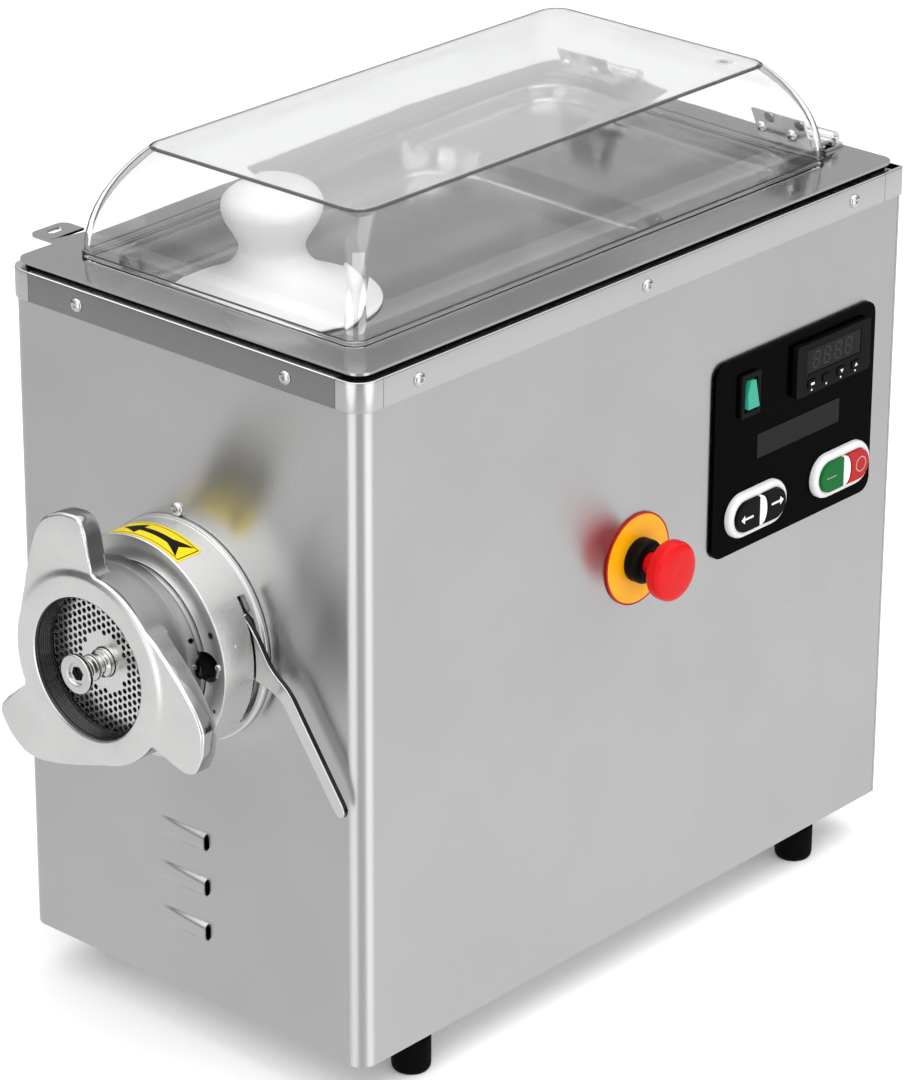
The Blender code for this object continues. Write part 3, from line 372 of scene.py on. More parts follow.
def along(axis, outline, height):
    """An outline's points as a loop in space, at that height along the axis."""
    if axis == "x":
        return [(height, u, v) for u, v in outline]
    if axis == "y":
        return [(u, height, v) for u, v in outline]
    return [(u, v, height) for u, v in outline]


def finish_mesh(name, mesh, look, body, angle=SHARP):
    """Turns a bmesh in cabinet millimetres into a named piece that rides on a body."""
    for vertex in mesh.verts:
        vertex.co = ORIGIN + vertex.co * MM
    data = bpy.data.meshes.new(name)
    mesh.to_mesh(data)
    mesh.free()
    for one in [look] if isinstance(look, str) else look:
        data.materials.append(LOOK[one])
    data.shade_smooth()
    data.set_sharp_from_angle(angle=math.radians(angle))
    obj = bpy.data.objects.new(name, data)
    bpy.context.scene.collection.objects.link(obj)
    if body:
        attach(obj, body)
    return obj


def lofted(name, loops, look, body, ring=False, angle=SHARP):
    """A closed solid through loops of equally many points. With ring the last joins the first."""
    mesh = bmesh.new()
    add_loft(mesh, loops, ring)
    bmesh.ops.recalc_face_normals(mesh, faces=mesh.faces)
    return finish_mesh(name, mesh, look, body, angle)


def add_loft(mesh, loops, ring=False, place=None):
    """Adds such a solid to a mesh, moved by place where that is given."""
    rows = [[mesh.verts.new(place @ Vector(p) if place else p) for p in loop] for loop in loops]
    for low, high in zip(rows, rows[1:] + rows[:1] if ring else rows[1:]):
        for i in range(len(low)):
            j = (i + 1) % len(low)
            mesh.faces.new((low[i], low[j], high[j], high[i]))
    if not ring:
        mesh.faces.new(rows[0][::-1])
        mesh.faces.new(rows[-1])


def prism(name, outline, low, high, look, body, axis="z", bevel=0.0, segments=3, angle=SHARP):
    piece = lofted(name, [along(axis, outline, h) for h in (low, high)], look, body, angle=angle)
    if bevel:
        soften(piece, bevel, segments)
    return piece


def turned(name, profile, look, body, axis="z", centre=(0.0, 0.0), sides=64, ring=False, angle=SHARP):
    """A solid of revolution. profile lists (radius, height along the axis) pairs."""
    loops = [along(axis, circle(r, sides, *centre), h) for r, h in profile]
    return lofted(name, loops, look, body, ring=ring, angle=angle)


def soften(piece, width, segments=3):
    """Rounds the piece's sharp edges."""
    step = piece.modifiers.new("edges", "BEVEL")
    step.width = width * MM
    step.segments = segments
    step.limit_method = "ANGLE"
    step.angle_limit = math.radians(28)
    step.harden_normals = True
    return piece


def settle(piece):
    """Replaces the piece's mesh with the one its modifiers make."""
    graph = bpy.context.evaluated_depsgraph_get()
    data = bpy.data.meshes.new_from_object(piece.evaluated_get(graph))
    piece.modifiers.clear()
    piece.data = data
    return piece


def thicken(piece, thickness, side, inner_look=0):
    """Gives an open sheet its thickness on one side, with another look there if asked."""
    wall = piece.modifiers.new("wall", "SOLIDIFY")
    wall.thickness = thickness * MM
    wall.offset = side
    wall.material_offset = inner_look
    settle(piece)


def cut(piece, *cutters):
    """Takes each cutter's solid out of the piece and removes the cutters."""
    for cutter in cutters:
        step = piece.modifiers.new("cut", "BOOLEAN")
        step.operation = "DIFFERENCE"
        step.solver = "EXACT"
        step.object = cutter
    settle(piece)
    for cutter in cutters:
        bpy.data.objects.remove(cutter)
    piece.data.shade_smooth()
    piece.data.set_sharp_from_angle(angle=math.radians(SHARP))
    return piece


def hole(outline, low, high, axis="z"):
    return prism("cutter", outline, low, high, "ink", None, axis)


def stands_for(piece, node):
    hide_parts(node)
    return slotted(piece)


def slotted(piece):
    return piece


def facing(position, normal, turn):
    """A placement that puts +Z along the normal at that position, turned about it in degrees."""
    rotation = Vector(normal).to_track_quat("Z", "Y").to_matrix().to_4x4()
    return Matrix.Translation(position) @ rotation @ Matrix.Rotation(math.radians(turn), 4, "Z")


# ---------------------------------------------------------------- fasteners


def hexagon(flats, sides=24):
    """A regular hexagon of that width across flats, with points all along its edges."""
    points = []
    for k in range(sides):
        angle = 2 * math.pi * k / sides
        within = (angle + math.pi / 6) % (math.pi / 3) - math.pi / 6
        radius = flats / 2 / math.cos(within)
        points.append((radius * math.cos(angle), radius * math.sin(angle)))
    return points


def add_button_screw(mesh, position, normal, radius, height, turn):
    """A button-head screw with a hexagon socket, standing on its surface."""
    skirt, socket_flats = 0.15, radius * 0.62
    dome = [(radius, 0.0), (radius, height * skirt)]
    for a in (15, 30, 45, 58):
        rise = skirt + (1 - skirt) * math.sin(math.radians(a))
        dome.append((radius * math.cos(math.radians(a)), height * rise))
    loops = [along("z", circle(r, 24), h) for r, h in dome]
    loops += [along("z", hexagon(socket_flats), h) for h in (dome[-1][1], height * skirt)]
    add_loft(mesh, loops, place=facing(position, normal, turn))


def screws(name, places, body, radius=4.3, height=2.4):
    """One piece of equal screws. places lists (position, normal) pairs."""
    mesh = bmesh.new()
    for i, (position, normal) in enumerate(places):
        add_button_screw(mesh, position, normal, radius, height, 17.0 * i)
    bmesh.ops.recalc_face_normals(mesh, faces=mesh.faces)
    return slotted(finish_mesh(name, mesh, "screw", body, 30))


# ---------------------------------------------------------------- cabinet

SHELL = Span("cabinet_shell")
FRONT_STRIP = Span("band_front")
HALF_X = (SHELL.x1 - SHELL.x0) / 2
HALF_Y = Span("rear_panel").y1
CORNER = 12.0  # radius of the cabinet's upright front corners
GAP = 0.3  # play between neighbours
HEAD = Span("hole_plate")
AXIS_Z = HEAD.z
LOUVRES = (140.0, 109.0, 78.0)  # heights of the louvres' middles


def make_shell():
    """The wrapped sheet with its openings and its three pressed louvres."""
    back, lip, head_opening, panel_margin, stop_hole = SHELL.y1, 14.0, 56.0, 7.0, 8.6
    x, y, r = HALF_X, HALF_Y, CORNER
    path = [(x - lip, back), (x, back), *arc(x - r, -y + r, r, 0, -90, 14)]
    path += [*arc(-x + r, -y + r, r, -90, -180, 14), (-x, back), (-x + lip, back)]
    mesh = bmesh.new()
    columns = [[mesh.verts.new((*point, z)) for z in (SHELL.z0, SHELL.z1)] for point in path]
    for (low, high), (next_low, next_high) in zip(columns, columns[1:]):
        mesh.faces.new((next_low, low, high, next_high))
    bmesh.ops.recalc_face_normals(mesh, faces=mesh.faces)
    shell = finish_mesh("cabinet_casing", mesh, ["casing", "inner"], "cabinet")
    side = max(shell.data.polygons, key=lambda p: p.area)
    outward = side.normal.dot(side.center - Vector((ORIGIN.x, ORIGIN.y, side.center.z)))
    thicken(shell, 1.0, -1.0 if outward > 0 else 1.0, 1)
    panel = Span("control_panel")
    stop = Span("estop_label")
    cut(
        shell,
        hole(circle(head_opening, 64, *HEAD_AXIS), -y - 5, -y + 5, "y"),
        hole(rounded(*inset((panel.y0, panel.y1, panel.z0, panel.z1), panel_margin), 2.0), x - 5, x + 5, "x"),
        hole(circle(stop_hole, 32, stop.y, stop.z), x - 5, x + 5, "x"),
        *(hole(rounded(4.0, 17.0, z - 4.0, z + 4.0, 1.2, 4), -y - 5, -y + 5, "y") for z in LOUVRES),
    )
    stands_for(shell, "cabinet_shell")
    for index, z in enumerate(LOUVRES):
        make_louvre(f"louvre_hood_{index + 1}", z, -y)


def make_louvre(name, middle, face_y):
    """A hood pressed out of the front sheet: a ramp that rises to the right and is open there."""
    start, end, half_width, rise, sheet, steps = -27.0, 15.0, 6.4, 3.2, 0.9, 24
    loops = []
    for k in range(steps + 1):
        part = k / steps
        outer, inner = [], []
        for i in range(-12, 13):
            across = i / 12
            height = rise * part ** 1.1 * (0.5 + 0.5 * math.cos(math.pi * abs(across) ** 3.4))
            x, z = start + (end - start) * part, middle + half_width * across
            outer.append((x, face_y - height - 0.03, z))
            inner.append((x, face_y - max(height - sheet, -0.4), z))
        loops.append(outer + inner[::-1])
    hood = lofted(name, loops, ["casing", "inner"], "cabinet", angle=50)
    for face in hood.data.polygons:
        face.material_index = 1 if face.normal.y > 0.2 else 0


def make_rear():
    """The rear panel's material, its screws, and the cable gland."""
    use("rear_panel", "rear", bevel=0.3)
    use("base_plate", "base", bevel=0.3)
    spots = [(x, z) for x in (-130, 0, 130) for z in (44, 446)]
    spots += [(x, z) for x in (-130, 130) for z in (178, 312)]
    screws("rear_panel_screws", [((x, HALF_Y, z), (0, 1, 0)) for x, z in spots], "cabinet", 3.8, 2.2)
    under = [((x, y, Span("base_plate").z0), (0, 0, -1)) for x in (-100, 0, 100) for y in (-232, 232)]
    screws("base_plate_screws", under, "cabinet", 3.8, 2.2)
    gland = Span("cable_gland")
    out, tip = HALF_Y + GAP, gland.y1
    centre = (gland.x, gland.z)
    outline = eased([(5.0, out - 14), (8.0, out - 14), (8.0, out), (12.0, out), (12.0, out + 5),
                     (10.5, out + 6), (9.6, tip - 3), (8.2, tip - 0.6), (6.4, tip), (5.0, tip)], 0.8)
    piece = turned("cable_gland_body", outline, "black", "cabinet", "y", centre, 40, ring=True)
    stands_for(piece, "cable_gland")
    flats = [(u + gland.x, v + gland.z) for u, v in hexagon(22.6)]
    nut = settle(prism("cable_gland_nut", flats, out + 0.4, out + 4.6, "black", "cabinet", "y", 0.5))
    cut(nut, hole(circle(12.02, 40, *centre), out - 1, out + 8, "y"))


def use(node, look, bevel=0.0, segments=2):
    """Gives a CAD node one of the materials and, if asked, rounder edges."""
    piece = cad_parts[node]
    piece.data.materials.clear()
    piece.data.materials.append(LOOK[look])
    for face in piece.data.polygons:
        face.material_index = 0
    if bevel:
        soften(piece, bevel, segments)
    return piece


def make_feet():
    """Rubber feet with a chamfered sole and a waist groove."""
    for node in FEET:
        foot = Span(node)
        r, top = (foot.x1 - foot.x0) / 2, SHELL.z0 - GAP
        profile = eased([(r - 1.6, 0.0), (r - 0.4, 1.6), (r, 4.0), (r, top - 7), (r - 1.0, top - 6),
                         (r - 1.0, top - 4.5), (r, top - 3.5), (r, top - 1.0), (r - 1, top)], 0.5)
        profile += [(4.0, top), (4.0, top + 10)]
        piece = turned(f"{node}_rubber", profile, "rubber", "cabinet", "z", (foot.x, foot.y), 48)
        stands_for(piece, node)


def swept(node, kind, path, section, look="trim"):
    """Stands for a node: a closed section of (outwards, height) points carried along a path.

    The path lists (point, normal) pairs. The second of two looks goes on the level top.
    """
    loops = [[(px + nx * out, py + ny * out, z) for out, z in section] for (px, py), (nx, ny) in path]
    piece = lofted(f"{node}_{kind}", loops, look, "cabinet", angle=40)
    if not isinstance(look, str):
        for face in piece.data.polygons:
            face.material_index = 1 if face.normal.z > 0.3 else 0
    stands_for(piece, node)


def make_band():
    """The edge trim: rolled strips, corner pieces with a fuller nose, and their screws."""
    x, y, r = HALF_X, HALF_Y, CORNER
    low, top, out = FRONT_STRIP.z0, FRONT_STRIP.z1, -HALF_Y - FRONT_STRIP.y0
    inward, sheet, chamfer = -9.0, 0.9, 1.2
    seam_x, seam_y = Span("band_corner_right").x0, Span("band_corner_right").y1
    section = eased([(out - chamfer, low), (out, low), (out, top), (inward, top)], sheet, 4)
    section += [(inward, top - sheet), (out - chamfer, top - sheet)]
    front, right, left, rear = (0, -1), (1, 0), (-1, 0), (0, 1)
    half, start, end = seam_x - GAP, seam_y + GAP, Span("band_right").y1
    path = [((-half, -y), front), ((half, -y), front)]
    # The front strip takes the darker steel as painted shade and, on its level top, the paler steel as
    # painted highlight.
    swept("band_front", "strip", path, section, ["shaded_front_trim", "highlit_top_trim"])
    swept("band_right", "strip", [((x, start), right), ((x, end), right)], section)
    swept("band_left", "strip", [((-x, end), left), ((-x, start), left)], section)
    turns = [(math.cos(a), math.sin(a)) for a in (math.radians(-90 + 90 * i / 16) for i in range(17))]
    nose = [((x - r + r * c, -y + r + r * s), (c, s)) for c, s in turns]
    path = [((seam_x, -y), front), *nose, ((x, seam_y), right)]
    for side, sign in (("right", 1), ("left", -1)):
        mirrored = [((px * sign, py), (nx * sign, ny)) for (px, py), (nx, ny) in path]
        swept(f"band_corner_{side}", "cap", mirrored, section)
    path = [((x, Span("band_rear").y0), right), ((x, y - 0.5), right), ((x - 0.2, y - 0.1), (0.7, 0.7)),
            ((x - 0.5, y), rear)]
    path += [((-px, py), (-nx, ny)) for (px, py), (nx, ny) in path[::-1]]
    swept("band_rear", "strip", path, section)
    z = (low + top) / 2 - 0.5
    places = [((px, -y - out, z), (0, -1, 0)) for px in (-84.0, 87.0)]
    places += [((sign * (x + out), py, z), (sign, 0, 0)) for sign in (1, -1) for py in (-205.0, -1.0, 203.0)]
    places += [((px, y + out, z), (0, 1, 0)) for px in (-95.0, 95.0)]
    screws("band_screws", places, "cabinet", 4.4, 2.6)


def fillet_depth(inside, depth, width):
    """How deep a pressed wall of that width is at a distance inside its rim line."""
    t = min(1.0, max(0.0, inside / width))
    return depth * (t * t * (3 - 2 * t)) ** 0.9


def rim_distance(px, py, box, radius):
    """Distance inside a rounded rectangle's rim, negative outside it."""
    x0, x1, y0, y1 = box
    qx = abs(px - (x0 + x1) / 2) - (x1 - x0) / 2 + radius
    qy = abs(py - (y0 + y1) / 2) - (y1 - y0) / 2 + radius
    outside = math.hypot(max(qx, 0.0), max(qy, 0.0)) + min(max(qx, qy), 0.0)
    return radius - outside


def make_tray():
    """The pressed top sheet with its deep basin, its shelf, the feed hole and the side ear."""
    sheet = Span("tray_top")
    half_x, half_y, top = sheet.x1, sheet.y1, sheet.z1
    basin = (-107.0, 105.0, -222.0, 207.0)
    step_y, deep_floor, shelf_floor = 97.0, 457.0, 470.5
    deep = (basin[0], basin[1], basin[2], step_y)
    shelf = (basin[0] + 0.5, basin[1] - 0.5, step_y - 60.0, basin[3])

    def height(px, py):
        low = fillet_depth(rim_distance(px, py, deep, 46.0), top - deep_floor, 10.2)
        high = fillet_depth(rim_distance(px, py, shelf, 34.0), top - shelf_floor, 5.4)
        return top - max(low, high)

    def lines(start, end, fine_zones):
        """Grid lines that lie close together in the zones where the sheet bends."""
        made, here, fine, coarse = [start], start, 1.2, 6.0
        while here < end - 1e-6:
            close = any(a - 0.01 <= here < b for a, b in fine_zones)
            step = fine if close else coarse
            for a, _ in fine_zones:
                if here < a < here + step:
                    step = a - here
            here = min(end, here + step)
            made.append(here)
        return made

    x0, x1, y0, y1 = inset(basin, -1.0)
    across = lines(x0, x1, [(x0, x0 + 54), (x1 - 54, x1)])
    length = lines(y0, y1, [(y0, y0 + 50), (step_y - 52, step_y + 8), (y1 - 42, y1)])
    mesh = bmesh.new()
    grid = [[mesh.verts.new((px, py, height(px, py))) for py in length] for px in across]
    for i in range(len(across) - 1):
        for k in range(len(length) - 1):
            mesh.faces.new((grid[i][k], grid[i + 1][k], grid[i + 1][k + 1], grid[i][k + 1]))
    rim = [grid[i][0] for i in range(len(across))] + [grid[-1][k] for k in range(1, len(length))]
    rim += [grid[i][-1] for i in range(len(across) - 2, -1, -1)]
    rim += [grid[0][k] for k in range(len(length) - 2, 0, -1)]
    outline = rounded(-half_x, half_x, -half_y, half_y, 10.0, 8)
    ear = rounded(sheet.x0, -half_x, -216.0, -186.0, 6.0, 8)
    ear = [p for p in ear if p[0] < -half_x - 5.0]
    at = next(i for i, p in enumerate(outline) if p[0] < -half_x + 0.01 and p[1] < 0)
    outline[at:at] = [(-half_x, -186.0), *ear, (-half_x, -216.0)]
    edge = [mesh.verts.new((px, py, top)) for px, py in outline]
    border = [mesh.edges.get((rim[i - 1], rim[i])) for i in range(len(rim))]
    border += [mesh.edges.new((edge[i - 1], edge[i])) for i in range(len(edge))]
    bmesh.ops.triangle_fill(mesh, use_beauty=True, edges=border)
    bmesh.ops.recalc_face_normals(mesh, faces=mesh.faces)
    if sum(f.normal.z for f in mesh.faces) < 0:
        bmesh.ops.reverse_faces(mesh, faces=mesh.faces)
    # The tray's darker steel is painted shade under the lid.
    tray = finish_mesh("pressed_tray", mesh, "tray", "cabinet", 60)
    thicken(tray, 1.6, -1.0)
    pusher = Span("pusher")
    ear_hole = rounded(sheet.x0 + 5, sheet.x0 + 11, -207.0, -195.0, 2.8, 6)
    cut(
        tray,
        hole(circle(28.0, 48, pusher.x, pusher.y), deep_floor - 10, deep_floor + 6),
        hole(ear_hole, top - 6, top + 3),
    )
    stands_for(tray, "tray_top")
    use("top_gasket", "rubber")


# ---------------------------------------------------------------- lid

LID = Span("lid")
LID_WALL = 3.0


def make_lid():
    """The clear cover: a narrow flange and bowed walls that meet the flat top at a tight edge."""
    flange, slope_x, slope_y, steps = 1.5, 24.0, 30.0, 12
    bow, lean = math.radians(40), math.radians(45)
    box = (LID.x0, LID.x1, LID.y0, LID.y1)
    flange_top = LID.z0 + LID_WALL

    def level(share, extra, z, radius):
        dx, dy = flange + slope_x * share + extra, flange + slope_y * share + extra
        return along("z", rounded(*inset(box, dx, dy), radius, steps), z)

    def wall(offset, foot, top, edge, radius):
        """Loops from the wall's foot up its bow and over the edge to the flat top."""
        made = []
        height = top - edge * (1 - math.sin(lean)) - foot
        for k in range(11):
            a = bow * k / 10
            share = (1 - math.cos(a)) / (1 - math.cos(bow))
            made.append(level(share, offset, foot + height * math.sin(a) / math.sin(bow), radius + 5 * share))
        for k in range(1, 7):
            a = lean + (math.pi / 2 - lean) * k / 6
            inward = edge * (math.cos(lean) - math.cos(a))
            rise = edge * (math.sin(a) - math.sin(lean))
            made.append(level(1.0, offset + inward, foot + height + rise, radius + 5))
        return made

    outer = wall(0.0, flange_top, LID.z1, 4.6, 9.0)
    inner = wall(LID_WALL, LID.z0, LID.z1 - LID_WALL, 1.6, 6.5)
    rim = [along("z", rounded(*inset(box, d), 10.5 - d, steps), z)
           for d, z in ((0.4, LID.z0), (0.0, LID.z0 + 0.5), (0.0, flange_top - 0.8), (0.6, flange_top - 0.1))]
    looks = ["lid", "lid_top", "lid_edge", "lid_far_edge_painted_light", "lid_corner"]
    lid = lofted("clear_lid", inner[::-1] + rim + outer, looks, "lid", angle=50)
    # The flat top gets the milky painted reflection, rim faces toward the front right the black painted
    # shade, those away from it the pale painted light, the front corner's walls the painted glint.
    for face in lid.data.polygons:
        height, inside = face.center.z / MM, face.normal.z < 0.0
        front_right = face.normal.x - face.normal.y
        if height > LID.z1 - 0.5 and face.normal.z > 0.97:
            face.material_index = 1
        elif height > LID.z1 - 1.8 - (LID_WALL if inside else 0.0) and abs(face.normal.z) < 0.97:
            face.material_index = 2 if (front_right > 0.0) != inside else 3
        elif not inside and height > flange_top + 2.0 and front_right > 1.05:
            face.material_index = 4
    stands_for(lid, "lid")
    outline = eased([(6.0, LID.z1 - 0.2), (6.0, LID.z1 - 0.05), (3.0, LID.z1)], 0.2)
    plug = turned("lid_vent_plug", outline, "plug", "lid", "z", (LID.x1 - 48.0, LID.y1 - 52.0), 40)


def make_hinges():
    """Stainless hinges, each bolted through the lid's rear wall and screwed to the tray."""
    lean = math.atan2(32.0, LID.z1 - LID.z0)
    outward = Vector((0.0, math.cos(lean), math.sin(lean)))
    for side in ("left", "right"):
        base, leaf = Span(f"hinge_base_{side}"), Span(f"hinge_leaf_{side}")
        use(f"hinge_base_{side}", "polished", 0.35)
        use(f"hinge_leaf_{side}", "polished", 0.35)
        z = leaf.z1 - 9.0
        y = leaf.y0 + (leaf.z1 - z) * math.tan(lean) + 2.0
        bolts = [((x, y, z), outward) for x in (leaf.x - 12.0, leaf.x + 12.0)]
        nuts = [((x, y - 6.2, z - 0.6), -outward) for (x, y, z), _ in bolts]
        screws(f"hinge_bolts_{side}", bolts, "lid", 3.6, 2.2)
        screws(f"hinge_nuts_{side}", nuts, "lid", 3.9, 3.6)
        z = Span("tray_top").z1 + 2.3
        fixing = [((x, base.y0 + 3.4, z), (0, 0, 1)) for x in (base.x - 15, base.x + 15)]
        screws(f"hinge_base_screws_{side}", fixing, "cabinet", 2.4, 1.2)


def make_pusher():
    """The one-piece white plunger, turned with smooth curves."""
    pusher = Span("pusher")
    z = pusher.z0 + 110.0
    outline = [(22.0, z - 110), (26.0, z - 104), (26.0, z), (62.5, z), (64.0, z + 0.8), (63.6, z + 2.2),
               (56.0, z + 5.0), (48.0, z + 9), (38.0, z + 13.5), (29.0, z + 19), (22.8, z + 25),
               (19.8, z + 32), (20.6, z + 37), (24.0, z + 43), (28.8, z + 50), (31.0, z + 57),
               (29.8, z + 63), (25.0, z + 68), (17.0, z + 71.5), (8.0, z + 72.8), (1.0, z + 73)]
    centre = (pusher.x, pusher.y)
    piece = turned("pusher_plunger", eased(outline, 6.0, 4), "white", "pusher", "z", centre, 96, angle=50)
    stands_for(piece, "pusher")


# ---------------------------------------------------------------- mincing head

HEAD_AXIS = (0.0, AXIS_Z)
COLLAR = Span("head_collar")
NUT = Span("ring_nut")


def at_angle(radius, angle):
    """A point of the head's upright plane, at an angle anticlockwise from the machine's right."""
    a = math.radians(angle)
    return radius * math.cos(a), AXIS_Z + radius * math.sin(a)


def spun(name, profile, look, body, sides=64, ring=False):
    """A solid of revolution round the head's axis."""
    return turned(name, profile, look, body, "y", HEAD_AXIS, sides, ring)


def wing_share(angle):
    """The wing's share of its full reach: a steep side, a broad tip and a long slope."""
    first_wing, apart, steep_side = 103.0, 120.0, 18.0
    shape = ((-18.0, 0.0), (-15.0, 0.10), (-12.6, 0.80), (-9.0, 1.0), (0.0, 1.03), (9.0, 0.97), (14.0, 0.84),
             (22.0, 0.58), (31.0, 0.34), (42.0, 0.14), (56.0, 0.0))
    a = (angle - first_wing + steep_side) % apart - steep_side
    for (a0, s0), (a1, s1) in zip(shape, shape[1:]):
        if a0 <= a <= a1:
            return s0 + (s1 - s0) * (a - a0) / (a1 - a0)
    return 0.0


def smooth_share(angle):
    """wing_share averaged over a few degrees, so that the outline has no kinks."""
    reach, samples = 1.6, 9
    offsets = [reach * (2 * i / (samples - 1) - 1) for i in range(samples)]
    return sum(wing_share(angle + o) for o in offsets) / samples


def make_ring_nut():
    """The winged locking nut: round hub, three cast wings that blend into it, rounded edges."""
    back, front = NUT.y1, NUT.y0
    body, tip, hub, opening = 61.0, 95.0, 56.0, 43.5
    thread, seat, groove = 54.2, 49.8, 1.7
    plate_front = HEAD.y0
    wing_back, wing_front, edge = back - 18.5, front + 1.5, 1.8
    sides = 240
    grooves = int((plate_front - 0.6 - front - 2.4) / groove)

    def face_y(r):
        t = min(1.0, max(0.0, (r - hub) / 7.0))
        return front + (wing_front - front) * (t * t * (3 - 2 * t))

    def section(angle):
        share = smooth_share(angle)
        r = body + (tip - body) * share
        nose = face_y(r - edge)
        points = [(thread, back), (body - 1.0, back), (body, back - 1.0), (body, wing_back + 2.5)]
        points.append((body + 0.5 * share, wing_back))
        points += [(body + (r - body) * t, wing_back - 1.2 * t) for t in (0.5, 0.95)]
        points += [(r, wing_back - 1.2 - edge), (r, (wing_back + nose) / 2 - 1.0)]
        for k in range(5):
            a = math.radians(90 * k / 4)
            points.append((r - edge * (1 - math.cos(a)), nose + edge * (1 - math.sin(a))))
        room = r - edge - hub
        bend = min(7.0, room * 0.85)
        near = [hub + bend + (room - bend) * t for t in (0.66, 0.33)]
        near += [hub + bend * t for t in (1.0, 0.72, 0.5, 0.28)]
        points += [(radius, face_y(radius)) for radius in near]
        points.append((hub, front))
        points += [(opening + out, front + down) for out, down in ((3.0, 0.0), (1.2, 0.3), (0.3, 1.1))]
        points += [(opening + d, front + 2.4 + groove * k + rise) for k in range(grooves)
                   for d, rise in ((0.0, 0.0), (0.0, 0.7), (0.55, 1.2))]
        points += [(opening, plate_front - 0.6), (seat, plate_front - 0.5)]
        return [*points, (seat, plate_front + 3.5), (thread, plate_front + 3.5)]

    rows = []
    for k in range(sides):
        angle = 360.0 * k / sides
        flat = [(at_angle(r, angle), y) for r, y in section(angle)]
        rows.append([(x, y, z) for (x, z), y in flat])
    loops = [list(loop) for loop in zip(*rows)]
    nut = lofted("winged_ring_nut", loops, ["cast", "bore", "shaded_nut_flank"], "ring_nut", ring=True, angle=48)
    axis = ORIGIN + Vector((0.0, 0.0, AXIS_Z)) * MM
    # Sides turned away from the front get polished steel, darkened as painted shade.
    for face in nut.data.polygons:
        middle = face.center - axis
        # Faces round the bore get the near-black steel: painted shade inside the nut.
        if math.hypot(middle.x, middle.z) < (opening + 0.9) * MM:
            face.material_index = 1
        elif face.normal.y > -0.15:
            face.material_index = 2
    stands_for(nut, "ring_nut")


def make_plate():
    """The cutting plate: a ground disc drilled all over except round its centre."""
    front, back, radius, bore = HEAD.y0, HEAD.y1, (HEAD.x1 - HEAD.x0) / 2, 9.6
    drill, pitch, blank, reach = 1.72, 4.7, 17.5, 46.3
    ring = [(bore, front), (radius - 0.5, front), (radius, front + 0.5), (radius, back), (bore, back)]
    plate = spun("drilled_plate", ring, "drilled", "cabinet", 96, ring=True)
    cutters = bmesh.new()
    row_pitch = pitch * math.sqrt(3) / 2
    count = int(reach / row_pitch) + 1
    for row in range(-count, count + 1):
        for k in range(-count - 2, count + 3):
            u, v = row * row_pitch, (k + 0.5 * (row % 2)) * pitch
            if blank < math.hypot(u, v) < reach:
                outline = circle(drill, 12, u, AXIS_Z + v)
                add_loft(cutters, [along("y", outline, h) for h in (front - 3, back + 3)])
    bmesh.ops.recalc_face_normals(cutters, faces=cutters.faces)
    cut(plate, finish_mesh("drills", cutters, "ink", None))
    stands_for(plate, "hole_plate")
    # A black disc behind the plate: painted shade seen through its holes.
    ring = [(12.0, back + 0.3), (46.0, back + 0.3), (46.0, back + 0.6), (12.0, back + 0.6)]
    spun("plate_painted_shade_disc", ring, "ink", "auger_drive", 48, ring=True)


def make_stud():
    """The auger's centre stud: a necked spindle that ends in a disc with a hexagon socket."""
    stud = Span("centre_stud")
    base, tip, socket = stud.y1, stud.y0, 6.5
    outline = [(9.0, base), (9.0, base - 3), (6.0, base - 4.5), (6.0, base - 8), (8.2, base - 9),
               (8.2, base - 12), (5.5, base - 13.5), (5.5, base - 18), (12.3, tip + 3.2), (12.3, tip),
               (7.2, tip), (socket, tip + 0.8), (socket, tip + 7)]
    piece = spun("plate_stud", eased(outline, 0.7, 3), "turned", "auger_drive")
    stands_for(piece, "centre_stud")
    disc = circle(socket - 0.1, 48, *HEAD_AXIS)
    hexagon_ring = prism("plate_stud_hexagon", disc, tip + 1.8, tip + 5.0, "turned", "auger_drive", "y")
    cut(hexagon_ring, hole(circle(4.9, 6, *HEAD_AXIS, turn=12.0), tip - 1.0, tip + 6.0, "y"))
    # A black disc at the bottom of the socket: painted shade in the hollow.
    floor = [(socket - 0.05, tip + 5.4), (socket - 0.05, tip + 6.8)]
    spun("plate_stud_socket_painted_shade", floor, "ink", "auger_drive", 32)


def make_barrel():
    """The polished barrel with its stepped shoulder where it enters the collar."""
    barrel = Span("barrel")
    front, back, lip = barrel.y0, barrel.y1, COLLAR.y0
    r, waist = 53.0, -240.0
    outline = [(49.7, front + 11.5), (49.7, front), (r - 1.5, front), (r, front + 1.5), (r, lip - 4.0),
               (r + 0.9, lip - 3.4), (r + 0.9, lip + 4.0), (r, lip + 4.6), (r, waist), (46.0, waist + 6),
               (46.0, back), (16.1, back), (16.1, back - 12), (36.5, back - 12), (36.5, front + 11.5)]
    piece = spun("polished_barrel", outline, "barrel", "cabinet", 96, ring=True)
    stands_for(piece, "barrel")
    feed = Span("feed_throat")
    top = feed.z0 - GAP
    neck = [(28.0, AXIS_Z + 46.5), (34.0, AXIS_Z + 43.5), (34.0, top), (28.0, top)]
    piece = turned("barrel_neck", neck, "polished", "cabinet", "z", (feed.x, feed.y), 64, ring=True)


